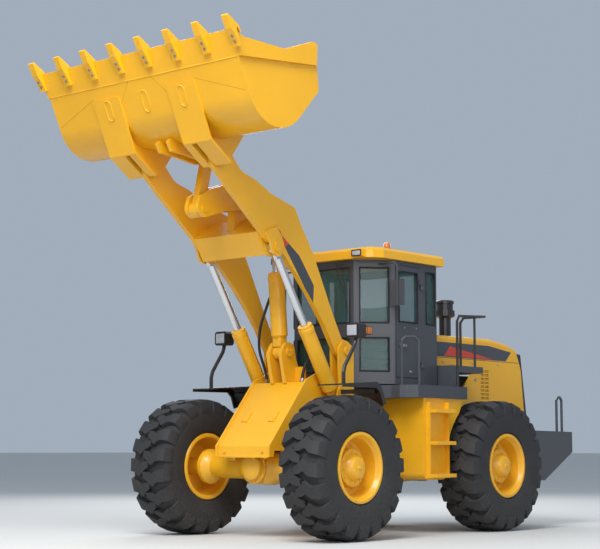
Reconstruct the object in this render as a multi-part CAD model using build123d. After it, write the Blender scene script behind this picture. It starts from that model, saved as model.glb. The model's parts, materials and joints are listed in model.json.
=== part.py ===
"""Articulated wheel loader, boom raised and bucket rolled back.

Millimetres, +X forward, +Y left, +Z up.  Everything is modelled with X = 0 at the
front axle and Z = 0 on the ground, and is moved forward by FRONT_AXLE_X when it is saved.
Side outlines are rows of (x, z, corner radius).  Wheels, axles and bars are drawn with flat
sides, which keeps the meshes light; faces that a joint turns on are truly round.
"""
from math import atan2, cos, degrees, hypot, radians, sin, tan
import os

from build123d import *

os.makedirs("parts", exist_ok=True)

# ------------------------------------------------------------------ driving dimensions
FRONT_AXLE_X = 1360          # front axle ahead of the middle of the whole machine
WHEELBASE = 2900
TRACK = 2320
TYRE_R = 800                 # over the lugs
TYRE_W = 595
LUG_H = 50
LUG_W = 62
LUG_SLANT = 34
LUGS = 16                    # chevrons round a tyre
TYRE_SIDES = 20
RIM_R = 394                  # outer flange
RIM_SIDES = 20
BEAD_Y = 238                 # from the wheel's middle to the inside of a rim flange
FLANGE_T = 22
BEAD_H = 34                  # how far a flange stands over the seat of the bead
DISC_T = 22
SPINDLE_R = 95
CLEAR = 6                    # side clearance at pivots
PIN_FIT = 0.1                # radial clearance of a pin in its bore

AXLE_Z = TYRE_R
HINGE_X = -WHEELBASE / 2
REAR_X = -WHEELBASE

# linkage points in the side plane, as (x, z)
BOOM_PIVOT = (-768, 2150)
BUCKET_PIVOT = (1389, 4158)
LIFT_EYE = (440, 3262)
LIFT_BASE = (-660, 1520)
CRANK_PIVOT = (450, 3860)
CRANK_FRONT = (1126, 3660)
CRANK_REAR = (-130, 3800)
LINK_TOP = (975, 4300)
TILT_BASE = (-270, 2130)

BOOM_PIN_R = 50
BUCKET_PIN_R = 45
LIFT_PIN_R = 40
TILT_PIN_R = 45
LINK_PIN_R = 42
EYE_R = 78                   # eyes of the lift and tilt cylinders

ARM_IN = 490                 # inner face of a boom arm
ARM_T = 65
ARM_OUT = ARM_IN + ARM_T
ARM_MID = ARM_IN + ARM_T / 2
LUG_T = 32                   # plates that hold a pin each side of an arm or an eye
GAP_IN = ARM_IN - CLEAR      # the room for an arm between two such plates
GAP_OUT = ARM_OUT + CLEAR
CRANK_HALF = 62              # half the room between the two crank plates
CRANK_T = 45

BUCKET_W = 3016              # over the cutting edge
CHEEK_T = 33
SHELL_W = BUCKET_W - 2 * CHEEK_T
SHELL_T = 20
SIDE_T = 24
EDGE_T = 36
EDGE_DEEP = 285              # cutting edge, from lip to seam
TEETH = 8
TOOTH_HALF = 42
LIP = (2164, 5246)
HEEL_CORNER = (1577, 3970)   # where floor and back would meet without the curve
HEEL_R = 474
BACK_BEND = (773, 4846)
SPILL_TOP = (835, 5335)
SIDE_DIP = (1369, 5189)
HANGER_IN = 375              # inner and outer edge of a hanger's cover plate
HANGER_OUT = 790
COVER_T = 20

FRAME_HALF = 420             # front frame over its side plates
PLATE_T = 30
PROUD = 25                   # side plates above the sloped plate
TOWER_IN = 448               # inner face of the tower, where it stands on the side plate
TOWER_BACK = -905
HINGE_PIN_R = 45
HINGE_LUG_R = 115
HINGE_LUG_T = 50
HINGE_Z = (680, 1200)        # middles of the two hinge lugs
NECK_HALF = 200
NECK_REACH = 265             # from the hinge to the neck's end plate
STEER_R = 50
STEER_ROD_R = 28
STEER_PIN_R = 25
STEER_EYE_R = 46
STEER_EYE_HALF = 34
STEER_Z = 940
STEER_BASE = (-500, 360)     # from the hinge, (x, y)
STEER_EYE = (300, 330)

RAIL_HALF = 450              # rear frame over its rails
RAIL_T = 40
RAIL_FRONT = HINGE_X - 560
RAIL_BACK = REAR_X - 1400
RAIL_TOP = 1250
AXLE_SEAT = 985              # underside of both frames over the axles

CAB_HALF = 800
CAB_FRONT_HALF = 470
CAB_FRONT = HINGE_X + 390
CAB_CHAMFER_X = HINGE_X + 10
CAB_REAR = HINGE_X - 840
CAB_FLOOR_Z = 1775
CAB_TOP_Z = 3265
CAB_WALL = 60
SILL_Z = 2530                # underside of the upper windows
HEAD_Z = 3170                # their upper edge
GLASS_T = 10
ROOF_T = 127
ROOF_OVER = 60
DOOR_FRONT = HINGE_X - 5
DOOR_BACK = HINGE_X - 500
DOOR_SILL = 1855
DOOR_HEAD = 3215
DOOR_GAP = 6
DOOR_HINGE_X = DOOR_BACK - 4
DOOR_HINGE_Y = CAB_HALF + 18
DOOR_HINGES = (2050, 3000)
DOOR_PIN_R = 6

PLATFORM_HALF = 1130
PLATFORM_TOP = 1760
PLATFORM_T = 150
PLATFORM_BACK = HINGE_X - 1010
WALK_TOP = 2030              # raised walkways beside the hood
WALK_OUT = 1000
WALK_BACK = HINGE_X - 1550

HOOD_HALF = 620
HOOD_FRONT = HINGE_X - 1050
HOOD_T = 25
HOOD_LOW = 1400
HOOD_TOP = 2440

# outlines that more than one piece takes its shape from
LIFT_LUG_ROWS = [(330, 3300, 0), (372, 3160, 60), (500, 3150, 90), (560, 3310, 0), (640, 3420, 0),
                 (420, 3500, 0)]
BEAM_ROWS = [(530, 3165, 0), (690, 3410, 0), (400, 3620, 0), (215, 3375, 0)]


# ------------------------------------------------------------------ helpers
def outline(corners):
    """Closed face from rows of (a, b, corner radius), in the XY plane."""
    count = len(corners)
    rows = []
    for i in range(count):
        here = Vector(corners[i][0], corners[i][1])
        before = Vector(corners[i - 1][0], corners[i - 1][1]) - here
        after = Vector(corners[(i + 1) % count][0], corners[(i + 1) % count][1]) - here
        radius = corners[i][2]
        if radius == 0:
            rows.append((here, None, here))
            continue
        half = radians(before.get_angle(after)) / 2
        cut = radius / tan(half)
        inward = (before.normalized() + after.normalized()).normalized()
        middle = here + inward * (radius / sin(half) - radius)
        rows.append((here + before.normalized() * cut, middle, here + after.normalized() * cut))
    edges = []
    for i in range(count):
        start, middle, end = rows[i]
        if middle is not None:
            edges.append(ThreePointArc(start, middle, end))
        following = rows[(i + 1) % count][0]
        if (following - end).length > 0.01:
            edges.append(Line(end, following))
    return make_face(Curve() + edges)


def slab(corners, y_low, y_high):
    """Plate with an XZ outline, between two Y planes."""
    return Pos(0, y_high, 0) * Rot(90, 0, 0) * extrude(outline(corners), y_high - y_low)


def layer(corners, z_low, z_high):
    """Plate with an XY outline, between two heights."""
    return Pos(0, 0, z_low) * extrude(outline(corners), z_high - z_low)


def box(x_low, x_high, y_low, y_high, z_low, z_high):
    size = (x_high - x_low, y_high - y_low, z_high - z_low)
    return Pos(x_low, y_low, z_low) * Box(*size, align=(Align.MIN, Align.MIN, Align.MIN))


def pin(point, radius, y_low, y_high):
    """Cylinder along Y at an (x, z) point."""
    middle = (y_low + y_high) / 2
    return Pos(point[0], middle, point[1]) * Rot(90, 0, 0) * Cylinder(radius, y_high - y_low)


def post(x, y, radius, z_low, z_high):
    return Pos(x, y, (z_low + z_high) / 2) * Cylinder(radius, z_high - z_low)


def strut(start, end, radius):
    """Round bar between two points in space."""
    start, end = Vector(*start), Vector(*end)
    along = end - start
    base = Plane(origin=start, z_dir=along)
    return base * Cylinder(radius, along.length, align=(Align.CENTER, Align.CENTER, Align.MIN))


def drum(rows, sides):
    """Turned piece along Y with flat sides, from rows of (y, radius over the flats)."""
    rings = []
    for y, radius in rows:
        ring = RegularPolygon(radius, sides, major_radius=False)
        rings.append(Pos(0, y, 0) * Rot(90, 0, 0) * ring)
    return loft(rings, ruled=True)


def bar(points, radius, cut):
    """Eight-sided bar through points in space; each bend is a short slanted run."""
    points = [Vector(*p) for p in points]
    path = [points[0]]
    for i in range(1, len(points) - 1):
        path.append(points[i] + (points[i - 1] - points[i]).normalized() * cut)
        path.append(points[i] + (points[i + 1] - points[i]).normalized() * cut)
    path.append(points[-1])
    start = Plane(origin=path[0], z_dir=path[1] - path[0])
    return sweep(start * RegularPolygon(radius, 8), path=Polyline(*path), transition=Transition.RIGHT)


def eye(point, radius, y_low, y_high, sides=14):
    """Boss along Y with flat sides, at an (x, z) point."""
    ring = RegularPolygon(radius, sides, major_radius=False)
    return Pos(point[0], y_high, point[1]) * Rot(90, 0, 0) * extrude(ring, y_high - y_low)


def collar(x, y, radius, z_low, z_high, sides=14):
    """Boss along Z with flat sides."""
    return Pos(x, y, z_low) * extrude(RegularPolygon(radius, sides, major_radius=False), z_high - z_low)


def tube(start, end, radius, sides):
    """Straight bar with flat sides between two points in space."""
    start, end = Vector(*start), Vector(*end)
    along = end - start
    ring = RegularPolygon(radius, sides, major_radius=False)
    return extrude(Plane(origin=start, z_dir=along) * ring, along.length, dir=along)


def toward(start, end, distance):
    """Point at a distance from start on the way to end, as (x, z)."""
    run = hypot(end[0] - start[0], end[1] - start[1])
    return (start[0] + (end[0] - start[0]) * distance / run,
            start[1] + (end[1] - start[1]) * distance / run)


def other_side(shape):
    return mirror(shape, about=Plane.XZ)


def save(name, *shapes):
    solids = []
    for shape in shapes:
        solids.extend(shape.solids())
    moved = [Pos(FRONT_AXLE_X, 0, 0) * solid for solid in solids]
    export_step(moved[0] if len(moved) == 1 else Compound(moved), f"parts/{name}.step")


def save_pair(name, shape):
    """Saves a left-hand piece and its mirror image."""
    save(f"{name}_left", shape)
    save(f"{name}_right", other_side(shape))


# ------------------------------------------------------------------ wheels and axles
def build_rim():
    """Rim with two flanges, its dished disc and the hub with a blind bore, outside towards +Y."""
    seat_r = (RIM_R - BEAD_H - 1) * cos(radians(180 / RIM_SIDES))
    flange = drum([(BEAD_Y, RIM_R), (BEAD_Y + FLANGE_T, RIM_R - 12)], RIM_SIDES)
    rim = drum([(-BEAD_Y, seat_r), (BEAD_Y, seat_r)], RIM_SIDES) + flange + other_side(flange)
    rim -= drum([(DISC_T * 2, RIM_R - 94), (BEAD_Y + FLANGE_T, RIM_R - 50)], RIM_SIDES)
    rim -= drum([(-BEAD_Y - FLANGE_T, RIM_R - 50), (DISC_T, RIM_R - 94)], RIM_SIDES)
    rim += drum([(DISC_T * 2, 215), (DISC_T * 2 + 104, 205)], RIM_SIDES)
    rim += drum([(DISC_T * 2 + 104, 150), (DISC_T * 2 + 192, 112)], RIM_SIDES)
    return rim - pin((0, 0), SPINDLE_R + PIN_FIT, 0, DISC_T + 200)


def build_tyre():
    """Loader tyre: a carcass with chevron lugs that run from the crown over the shoulders."""
    half = TYRE_W / 2
    side = [(-BEAD_Y, RIM_R + 2), (-half * 0.95, RIM_R + 150), (-half * 0.88, TYRE_R - LUG_H)]
    carcass = drum(side + [(-y, r) for y, r in reversed(side)], TYRE_SIDES)
    carcass -= drum([(-half, RIM_R - BEAD_H), (half, RIM_R - BEAD_H)], TYRE_SIDES)
    slant = radians(LUG_SLANT)
    start, shoulder = -10, half * 0.66
    reach = half - LUG_W / 2 * sin(slant)
    rows = [(start, TYRE_R - 100), (start, TYRE_R), (shoulder, TYRE_R), (reach, TYRE_R - 65), (reach, TYRE_R - 150)]
    profile = make_face(Polyline(*[(y / cos(slant), z) for y, z in rows], close=True))
    lug = extrude(Plane.YZ * profile, LUG_W / 2, both=True)
    lug = Pos((start + shoulder) / 2 * tan(slant), 0, 0) * Rot(0, 0, LUG_SLANT) * lug
    lugs = []
    for i in range(LUGS):
        lugs.append(Rot(0, 360 / LUGS * i, 0) * lug)
        lugs.append(Rot(0, 360 / LUGS * (i + 0.5), 0) * other_side(lug))
    return carcass.fuse(*lugs)


def build_wheels():
    rim = build_rim()
    rubber = build_tyre()
    for end, x in (("front", 0), ("rear", REAR_X)):
        for side, sign in (("left", 1), ("right", -1)):
            place = Pos(x, sign * TRACK / 2, AXLE_Z) * Rot(0, 0, 0 if sign > 0 else 180)
            save(f"rim_{end}_{side}", place * rim)
            save(f"tyre_{end}_{side}", place * rubber)


def build_axle(name, x):
    """Drive axle: banjo housing, tapered arms, brake housings and the spindles of the hubs."""
    tip = TRACK / 2 + 200
    brake = TRACK / 2 - 265
    arms = [(-brake + 60, 128), (-270, 140), (-150, 178), (150, 178), (270, 140), (brake - 60, 128)]
    housing = drum(arms, 12)
    for side in (1, -1):
        shoe = drum([(brake - 60, 205), (brake, 205)], 16) + pin((0, 0), SPINDLE_R, brake, tip)
        housing += shoe if side > 0 else other_side(shoe)
        middle = side * (RAIL_HALF - 45)
        housing += box(-120, 120, middle - 60, middle + 60, 0, AXLE_SEAT - AXLE_Z)
    housing += Rot(0, 0, 90) * drum([(-260, 130), (-170, 150), (170, 150), (260, 130)], 12)
    save(name, Pos(x, 0, AXLE_Z) * housing)


# ------------------------------------------------------------------ front frame
def hinge_lugs(z_middles, thickness, reach, sign):
    """Horizontal lugs round the steering axis, on the side given by sign."""
    lugs = []
    for z in z_middles:
        plate = layer([(0, -HINGE_LUG_R, 0), (0, HINGE_LUG_R, 0), (sign * reach, NECK_HALF, 0),
                       (sign * reach, -NECK_HALF, 0)], z - thickness / 2, z + thickness / 2)
        lugs.append(plate + collar(0, 0, HINGE_LUG_R, z - thickness / 2, z + thickness / 2))
    return lugs


def build_front_frame():
    """Box of two side plates, with the sloped plate between them set a little below their edges."""
    side_rows = [(385, 915, 0), (385, 1040, 0), (-250, 1800, 0), (-560, 1930, 0), (-700, 1930, 0),
                 (TOWER_BACK, 1700, 0), (TOWER_BACK, 600, 0), (-260, 600, 0), (-260, AXLE_SEAT, 0),
                 (300, AXLE_SEAT, 0), (320, 915, 0)]
    inner = FRAME_HALF - PLATE_T
    frame = slab(side_rows, inner, FRAME_HALF) + slab(side_rows, -FRAME_HALF, -inner)
    slope = [(385 - PROUD, 915, 0), (385 - PROUD, 1035, 0), (-262, 1800 - PROUD, 0), (-560, 1800 - PROUD, 0),
             (-560, 1770 - PROUD, 0), (-275, 1770 - PROUD, 0), (330 - PROUD, 1025, 0), (330 - PROUD, 915, 0)]
    frame += slab(slope, -inner, inner)
    frame += box(TOWER_BACK, TOWER_BACK + 40, -inner, inner, 600, 1700)
    frame += box(TOWER_BACK, 310, -inner, inner, AXLE_SEAT, AXLE_SEAT + 30)
    frame += box(TOWER_BACK, -260, -inner, inner, 600, 630)
    ear_rows = [(-230, 1790 - PROUD, 0), (-150, 2110, 90), (-230, 2255, 90), (-370, 2235, 90), (-410, 2050, 0),
                (-540, 1790 - PROUD, 0)]
    for side in (1, -1):
        ear = slab(ear_rows, 72, 122) + box(-440, -400, 122, 250, 1790 - PROUD, 1960)
        frame += ear if side > 0 else other_side(ear)
    frame += pin(TILT_BASE, TILT_PIN_R, -140, 140)
    save("front_frame", frame)


def build_front_hinge():
    """Neck at the back of the front frame, with the steering axis' lugs and the steering ears."""
    x_neck = HINGE_X + NECK_REACH
    neck = box(x_neck, TOWER_BACK, -NECK_HALF, NECK_HALF, 610, 1290)
    neck -= box(x_neck + 30, TOWER_BACK, -NECK_HALF + 30, NECK_HALF - 30, 640, 1260)
    for lug in hinge_lugs(HINGE_Z, HINGE_LUG_T, NECK_REACH, 1):
        neck += Pos(HINGE_X, 0, 0) * lug
    neck -= post(HINGE_X, 0, HINGE_PIN_R + PIN_FIT, 500, 1400)
    x, y = STEER_EYE
    for z_low, z_high in steer_lug_heights():
        rows = [(x - 50, y + 50, 40), (x + 50, y + 50, 0), (x + 230, NECK_HALF, 0), (x - 30, NECK_HALF, 0)]
        ear = Pos(HINGE_X, 0, 0) * layer(rows, z_low, z_high)
        neck += ear + other_side(ear)
    save("front_hinge", neck)


def steer_lug_heights():
    half = STEER_EYE_HALF + CLEAR
    return ((STEER_Z - half - 26, STEER_Z - half), (STEER_Z + half, STEER_Z + half + 26))


def build_tower():
    """Two plates that hold the boom's pin and the lift cylinder's, standing on the side plate."""
    rows = [(-600, 1425, 0), (-562, 1560, 0), (-648, 1720, 0), (-632, 2190, 110), (-740, 2290, 90),
            (TOWER_BACK, 2190, 90), (TOWER_BACK, 1350, 0), (-760, 1350, 0)]
    spacer = [(TOWER_BACK, 1350, 0), (-790, 1350, 0), (-790, 1980, 0), (TOWER_BACK, 1980, 0)]
    base = [(-600, 1425, 0), (-640, 1720, 0), (-640, 1890, 0), (TOWER_BACK, 1690, 0),
            (TOWER_BACK, 1350, 0), (-760, 1350, 0)]
    tower = slab(rows, TOWER_IN, GAP_IN) + slab(rows, GAP_OUT, GAP_OUT + LUG_T)
    tower += slab(spacer, GAP_IN, GAP_OUT) + slab(base, FRAME_HALF, TOWER_IN)
    tower += pin(BOOM_PIVOT, BOOM_PIN_R, TOWER_IN - 10, GAP_OUT + LUG_T + 22)
    tower += pin(LIFT_BASE, LIFT_PIN_R, TOWER_IN, GAP_OUT + LUG_T + 16)
    save_pair("tower", tower)


def build_fender():
    """Short fender over the back of a front tyre, with the lamps on its bent post."""
    outer = [(0, 1726, 0), (-605, 1764, 0), (-665, 1735, 0), (-715, 1660, 0), (-775, 1520, 0)]
    inner = [(-762, 1512, 0), (-700, 1654, 0), (-654, 1722, 0), (-600, 1748, 0), (0, 1710, 0)]
    fender = slab(outer + inner, TRACK / 2 - 360, TRACK / 2 + 15)
    skirt = outer + [(-720, 1500, 0), (-665, 1640, 0), (-600, 1695, 0), (0, 1690, 0)]
    fender += slab(skirt, TRACK / 2 - 5, TRACK / 2 + 15)
    fender += box(-720, -660, GAP_OUT + LUG_T, TRACK / 2 - 60, 1640, 1690)
    lamp_y = 1033
    fender += bar([(-174, lamp_y, 1722), (-174, lamp_y, 1905), (-400, lamp_y, 2215), (-400, lamp_y, 2270)], 22, 40)
    lamp = box(-470, -330, lamp_y - 95, lamp_y + 95, 2262, 2430)
    lamp = chamfer(lamp.edges().filter_by(Axis.X), 24)
    signal = box(-560, -470, lamp_y + 20, lamp_y + 110, 2300, 2390)
    save_pair("fender", fender + lamp + signal)


# ------------------------------------------------------------------ boom
def build_arm():
    rows = [(-800, 2020, 90), (-640, 2090, 110), (-416, 2429, 0), (-179, 2720, 0),
            (54, 2960, 0), (297, 3184, 0), (617, 3345, 0), (690, 3425, 0), (1239, 3866, 150),
            (1332, 3950, 0), (1470, 4060, 90), (1465, 4250, 90), (1310, 4290, 90), (1172, 4216, 0),
            (1006, 4044, 200), (765, 3977, 0), (522, 3859, 0), (222, 3775, 0), (107, 3742, 0),
            (17, 3582, 0), (-210, 3250, 300), (-567, 2564, 0), (-726, 2290, 0), (-860, 2255, 90)]
    arm = slab(rows, ARM_IN, ARM_OUT)
    arm -= eye(LIFT_EYE, EYE_R + 26, ARM_IN - 1, ARM_OUT + 1)
    lug = slab(LIFT_LUG_ROWS, 0, LUG_T)
    arm += Pos(0, ARM_OUT, 0) * lug
    arm += Pos(0, ARM_IN - LUG_T, 0) * lug
    arm += eye(LIFT_EYE, 62, ARM_OUT + LUG_T, ARM_OUT + LUG_T + 14)
    arm += eye(BOOM_PIVOT, 112, ARM_IN, ARM_OUT) + eye(BUCKET_PIVOT, 92, ARM_IN, ARM_OUT)
    arm -= pin(BOOM_PIVOT, BOOM_PIN_R + PIN_FIT, ARM_IN - 1, ARM_OUT + 1)
    arm -= pin(BUCKET_PIVOT, BUCKET_PIN_R + PIN_FIT, ARM_IN - 1, ARM_OUT + 1)
    save_pair("boom_arm", arm)


def build_cross_beam():
    """Box beam between the arms, with the foot that carries the bell crank."""
    beam = slab(BEAM_ROWS, -ARM_IN, ARM_IN)
    lug = Pos(0, ARM_IN - LUG_T, 0) * slab(LIFT_LUG_ROWS, 0, LUG_T)
    beam = beam - lug - other_side(lug)
    inner = [(505, 3215, 0), (635, 3400, 0), (410, 3565, 0), (270, 3385, 0)]
    beam -= slab(inner, -ARM_IN - 1, ARM_IN + 1)
    foot = [(330, 3470, 0), (600, 3420, 0), (560, 3890, 95), (450, 3975, 95), (340, 3890, 95)]
    foot_half = CRANK_HALF - CLEAR
    beam += slab(foot, -foot_half, foot_half) - slab(BEAM_ROWS, -ARM_IN, ARM_IN)
    beam += pin(CRANK_PIVOT, BOOM_PIN_R, -CRANK_HALF - CRANK_T - 12, CRANK_HALF + CRANK_T + 12)
    save("cross_beam", beam)


def build_bellcrank():
    rows = [(1126, 3560, 90), (1245, 3640, 90), (1190, 3800, 0), (1000, 3905, 0), (700, 4000, 0),
            (420, 4040, 0), (120, 3980, 0), (-150, 3915, 90), (-240, 3800, 90), (-130, 3690, 90),
            (150, 3740, 0), (450, 3715, 0), (760, 3680, 0)]
    plate = slab(rows, CRANK_HALF, CRANK_HALF + CRANK_T)
    crank = plate + other_side(plate)
    crank += slab([(780, 3720, 0), (930, 3660, 0), (960, 3840, 0), (800, 3910, 0)], -CRANK_HALF, CRANK_HALF)
    crank += slab([(90, 3800, 0), (170, 3790, 0), (170, 3930, 0), (90, 3920, 0)], -CRANK_HALF, CRANK_HALF)
    reach = CRANK_HALF + CRANK_T + 12
    crank -= pin(CRANK_PIVOT, BOOM_PIN_R + PIN_FIT, -reach, reach)
    crank += pin(CRANK_FRONT, LINK_PIN_R, -reach, reach)
    save("bellcrank", crank)


def build_link():
    """Straight link between the bell crank and the bucket, an eye at each end."""
    half = CRANK_HALF - CLEAR
    start, end = Vector(*CRANK_FRONT), Vector(*LINK_TOP)
    along = (end - start).normalized()
    beside = Vector(-along.Y, along.X) * 62
    corners = [start - beside, start + beside, end + beside, end - beside]
    link = slab([(c.X, c.Y, 0) for c in corners], -half + 14, half - 14)
    link += eye(CRANK_FRONT, 88, -half, half) + eye(LINK_TOP, 82, -half, half)
    link -= pin(CRANK_FRONT, LINK_PIN_R + PIN_FIT, -half - 1, half + 1)
    save("bucket_link", link)


# ------------------------------------------------------------------ bucket
FLOOR = Vector(LIP[0] - HEEL_CORNER[0], LIP[1] - HEEL_CORNER[1]).normalized()
UP = Vector(-FLOOR.Y, FLOOR.X)


def on_floor(ahead, above):
    """Point in the side plane, ahead of the bucket's lip along its floor and above its underside."""
    spot = Vector(*LIP) + FLOOR * ahead + UP * above
    return (spot.X, spot.Y, 0)


def shell_rows():
    return [on_floor(-EDGE_DEEP, 0), (HEEL_CORNER[0], HEEL_CORNER[1], HEEL_R),
            (BACK_BEND[0], BACK_BEND[1], 60), (SPILL_TOP[0], SPILL_TOP[1], 0),
            (SPILL_TOP[0] + 60, SPILL_TOP[1] + 30, 0), (SIDE_DIP[0], SIDE_DIP[1], 0),
            on_floor(-EDGE_DEEP, 150)]


def hollow_rows():
    """Inside of the bucket, open towards the front."""
    back = Vector(BACK_BEND[0] - HEEL_CORNER[0], BACK_BEND[1] - HEEL_CORNER[1]).normalized()
    inward = Vector(back.Y, -back.X)
    corner = Vector(*HEEL_CORNER) + (FLOOR + back) * (SHELL_T / sin(radians(FLOOR.get_angle(back))))
    bend = Vector(*BACK_BEND) + inward * SHELL_T + back * -4
    top = Vector(*SPILL_TOP) + Vector(SHELL_T, 0)
    return [on_floor(900 - EDGE_DEEP, SHELL_T), (corner.X, corner.Y, HEEL_R - SHELL_T),
            (bend.X, bend.Y, 45), (top.X, top.Y, 0), (top.X + 20, top.Y + 400, 0),
            on_floor(900 - EDGE_DEEP, SHELL_T + 200)]


def build_bucket():
    half = SHELL_W / 2
    solid = slab(shell_rows(), -half, half)
    shell = solid - slab(hollow_rows(), -half + SIDE_T, half - SIDE_T)
    save("bucket_shell", shell)
    edge = slab([on_floor(-EDGE_DEEP, 0), on_floor(0, 0), on_floor(0, EDGE_T * 0.4), on_floor(-60, EDGE_T),
                 on_floor(-EDGE_DEEP, EDGE_T)], -BUCKET_W / 2, BUCKET_W / 2)
    cheek = slab([on_floor(-EDGE_DEEP, 0), on_floor(0, 0), (2002, 5190, 0), (SIDE_DIP[0], SIDE_DIP[1], 0),
                  (900, 5362, 0), (SPILL_TOP[0], SPILL_TOP[1], 0), (SPILL_TOP[0] + 8, 5110, 0)],
                 half, BUCKET_W / 2)
    edge += cheek + other_side(cheek)
    pitch = (BUCKET_W + 16) / (TEETH - 1)
    for i in range(TEETH):
        edge += build_tooth((i - (TEETH - 1) / 2) * pitch)
    save("bucket_edge", edge)
    hanger = build_hanger() - solid
    ear = build_link_ear() - solid
    save("bucket_hangers", hanger, other_side(hanger), ear, other_side(ear))


def build_tooth(y):
    """Bolted tooth: straps over and under the edge plate, and a point that turns down ahead of it."""
    rows = [(-190, -34), (-190, 0), (0, 0), (0, EDGE_T * 0.4), (-60, EDGE_T), (-60, EDGE_T + 18), (20, EDGE_T),
            (158, -66), (150, -86), (10, -76), (-60, -56), (-150, -34)]
    return slab([on_floor(a, b) for a, b in rows], y - TOOTH_HALF, y + TOOTH_HALF)


def build_hanger():
    """Box that holds the boom's pin: two plates, and a cover that wraps round the pin with a slot for the arm."""
    plate = [on_floor(-420, 0), on_floor(-420, -COVER_T), on_floor(-1080, -COVER_T), (1490, 4090, 0), (1420, 4048, 0),
             (1330, 4062, 0), (1212, 4163, 0), (1008, 4443, 0), (1100, 4640, 0), (1600, 4640, 0)]
    hanger = slab(plate, GAP_IN - LUG_T, GAP_IN) + slab(plate, GAP_OUT, GAP_OUT + LUG_T)
    cover = slab([on_floor(-420, 0), on_floor(-420, -COVER_T), on_floor(-1080, -COVER_T), (1490, 4090, 0),
                  (1420, 4048, 0), (1408, 4072, 0), (1470, 4108, 0), on_floor(-1070, 0)], HANGER_IN, HANGER_OUT)
    slot = slab([(1740, 4290, 0), (1600, 4340, 0), (1300, 4160, 0), (1300, 3950, 0), (1560, 3950, 0)], GAP_IN, GAP_OUT)
    hanger += cover - slot
    return hanger + pin(BUCKET_PIVOT, BUCKET_PIN_R, GAP_IN - LUG_T - 8, GAP_OUT + LUG_T + 8)


def build_link_ear():
    rows = [(1690, 4330, 0), (1634, 4235, 0), (1437, 4227, 0), (1100, 4185, 0), (960, 4200, 80), (880, 4290, 80),
            (930, 4400, 0), (1100, 4560, 0), (1500, 4560, 0)]
    ear = slab(rows, CRANK_HALF, CRANK_HALF + CRANK_T)
    return ear + eye(LINK_TOP, 55, CRANK_HALF + CRANK_T, CRANK_HALF + CRANK_T + 14)


# ------------------------------------------------------------------ cylinders
def build_cylinder(base, tip, y, sizes):
    """Barrel and rod of a cylinder in an XZ plane; the rod's inner end stands at the stroke's end."""
    barrel_r, rod_r, neck, barrel_top, stroke, base_half, base_pin, eye_half = sizes

    def at(distance):
        x, z = toward(base, tip, distance)
        return (x, y, z)

    bore = neck + 22
    run = hypot(tip[0] - base[0], tip[1] - base[1])
    turn = 90 - degrees(atan2(tip[1] - base[1], tip[0] - base[0]))
    place = Pos(base[0], y, base[1]) * Rot(0, turn, 0)
    tongue = base_half - 1
    barrel = tube(at(neck), at(barrel_top), barrel_r, 16)
    barrel += place * box(-EYE_R * 0.8, EYE_R * 0.8, -tongue, tongue, 0, neck)
    barrel += eye(base, EYE_R, y - base_half, y + base_half)
    barrel -= strut(at(bore), at(barrel_top + 1), rod_r + PIN_FIT)
    barrel -= pin(base, base_pin + PIN_FIT, y - base_half - 1, y + base_half + 1)
    rod = strut(at(bore + stroke + CLEAR), at(run - EYE_R - 62), rod_r)
    tongue = min(eye_half, rod_r * 0.9) - 1
    rod += place * box(-rod_r * 0.9, rod_r * 0.9, -tongue, tongue, run - EYE_R - 70, run)
    rod += eye(tip, EYE_R, y - eye_half, y + eye_half)
    return barrel, rod


def build_lift():
    barrel, rod = build_cylinder(LIFT_BASE, LIFT_EYE, ARM_MID,
                                 (88, 45, 205, 1058, 809, ARM_T / 2, LIFT_PIN_R, 26))
    save_pair("lift_barrel", barrel)
    save_pair("lift_rod", rod)


def build_tilt():
    barrel, rod = build_cylinder(TILT_BASE, CRANK_REAR, 0,
                                 (98, 42, 190, 940, 397, 64, TILT_PIN_R, CRANK_HALF - CLEAR))
    save("tilt_barrel", barrel)
    save("tilt_rod", rod)


def build_steering():
    """Steering cylinder, lying between the two frames beside the hinge."""
    start = Vector(HINGE_X + STEER_BASE[0], STEER_BASE[1], STEER_Z)
    end = Vector(HINGE_X + STEER_EYE[0], STEER_EYE[1], STEER_Z)
    along = (end - start).normalized()
    low, high = STEER_Z - STEER_EYE_HALF, STEER_Z + STEER_EYE_HALF
    barrel = tube(start + along * 80, start + along * 480, STEER_R, 12)
    barrel += tube(start + along * 20, start + along * 100, 30, 8)
    barrel += collar(start.X, start.Y, STEER_EYE_R, low, high, 12)
    barrel -= strut(start + along * 110, start + along * 480, STEER_ROD_R + PIN_FIT)
    barrel -= post(start.X, start.Y, STEER_PIN_R + PIN_FIT, low - 1, high + 1)
    rod = strut(start + along * 360, end, STEER_ROD_R) + collar(end.X, end.Y, STEER_EYE_R, low, high, 12)
    save_pair("steer_barrel", barrel)
    save_pair("steer_rod", rod)


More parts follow.
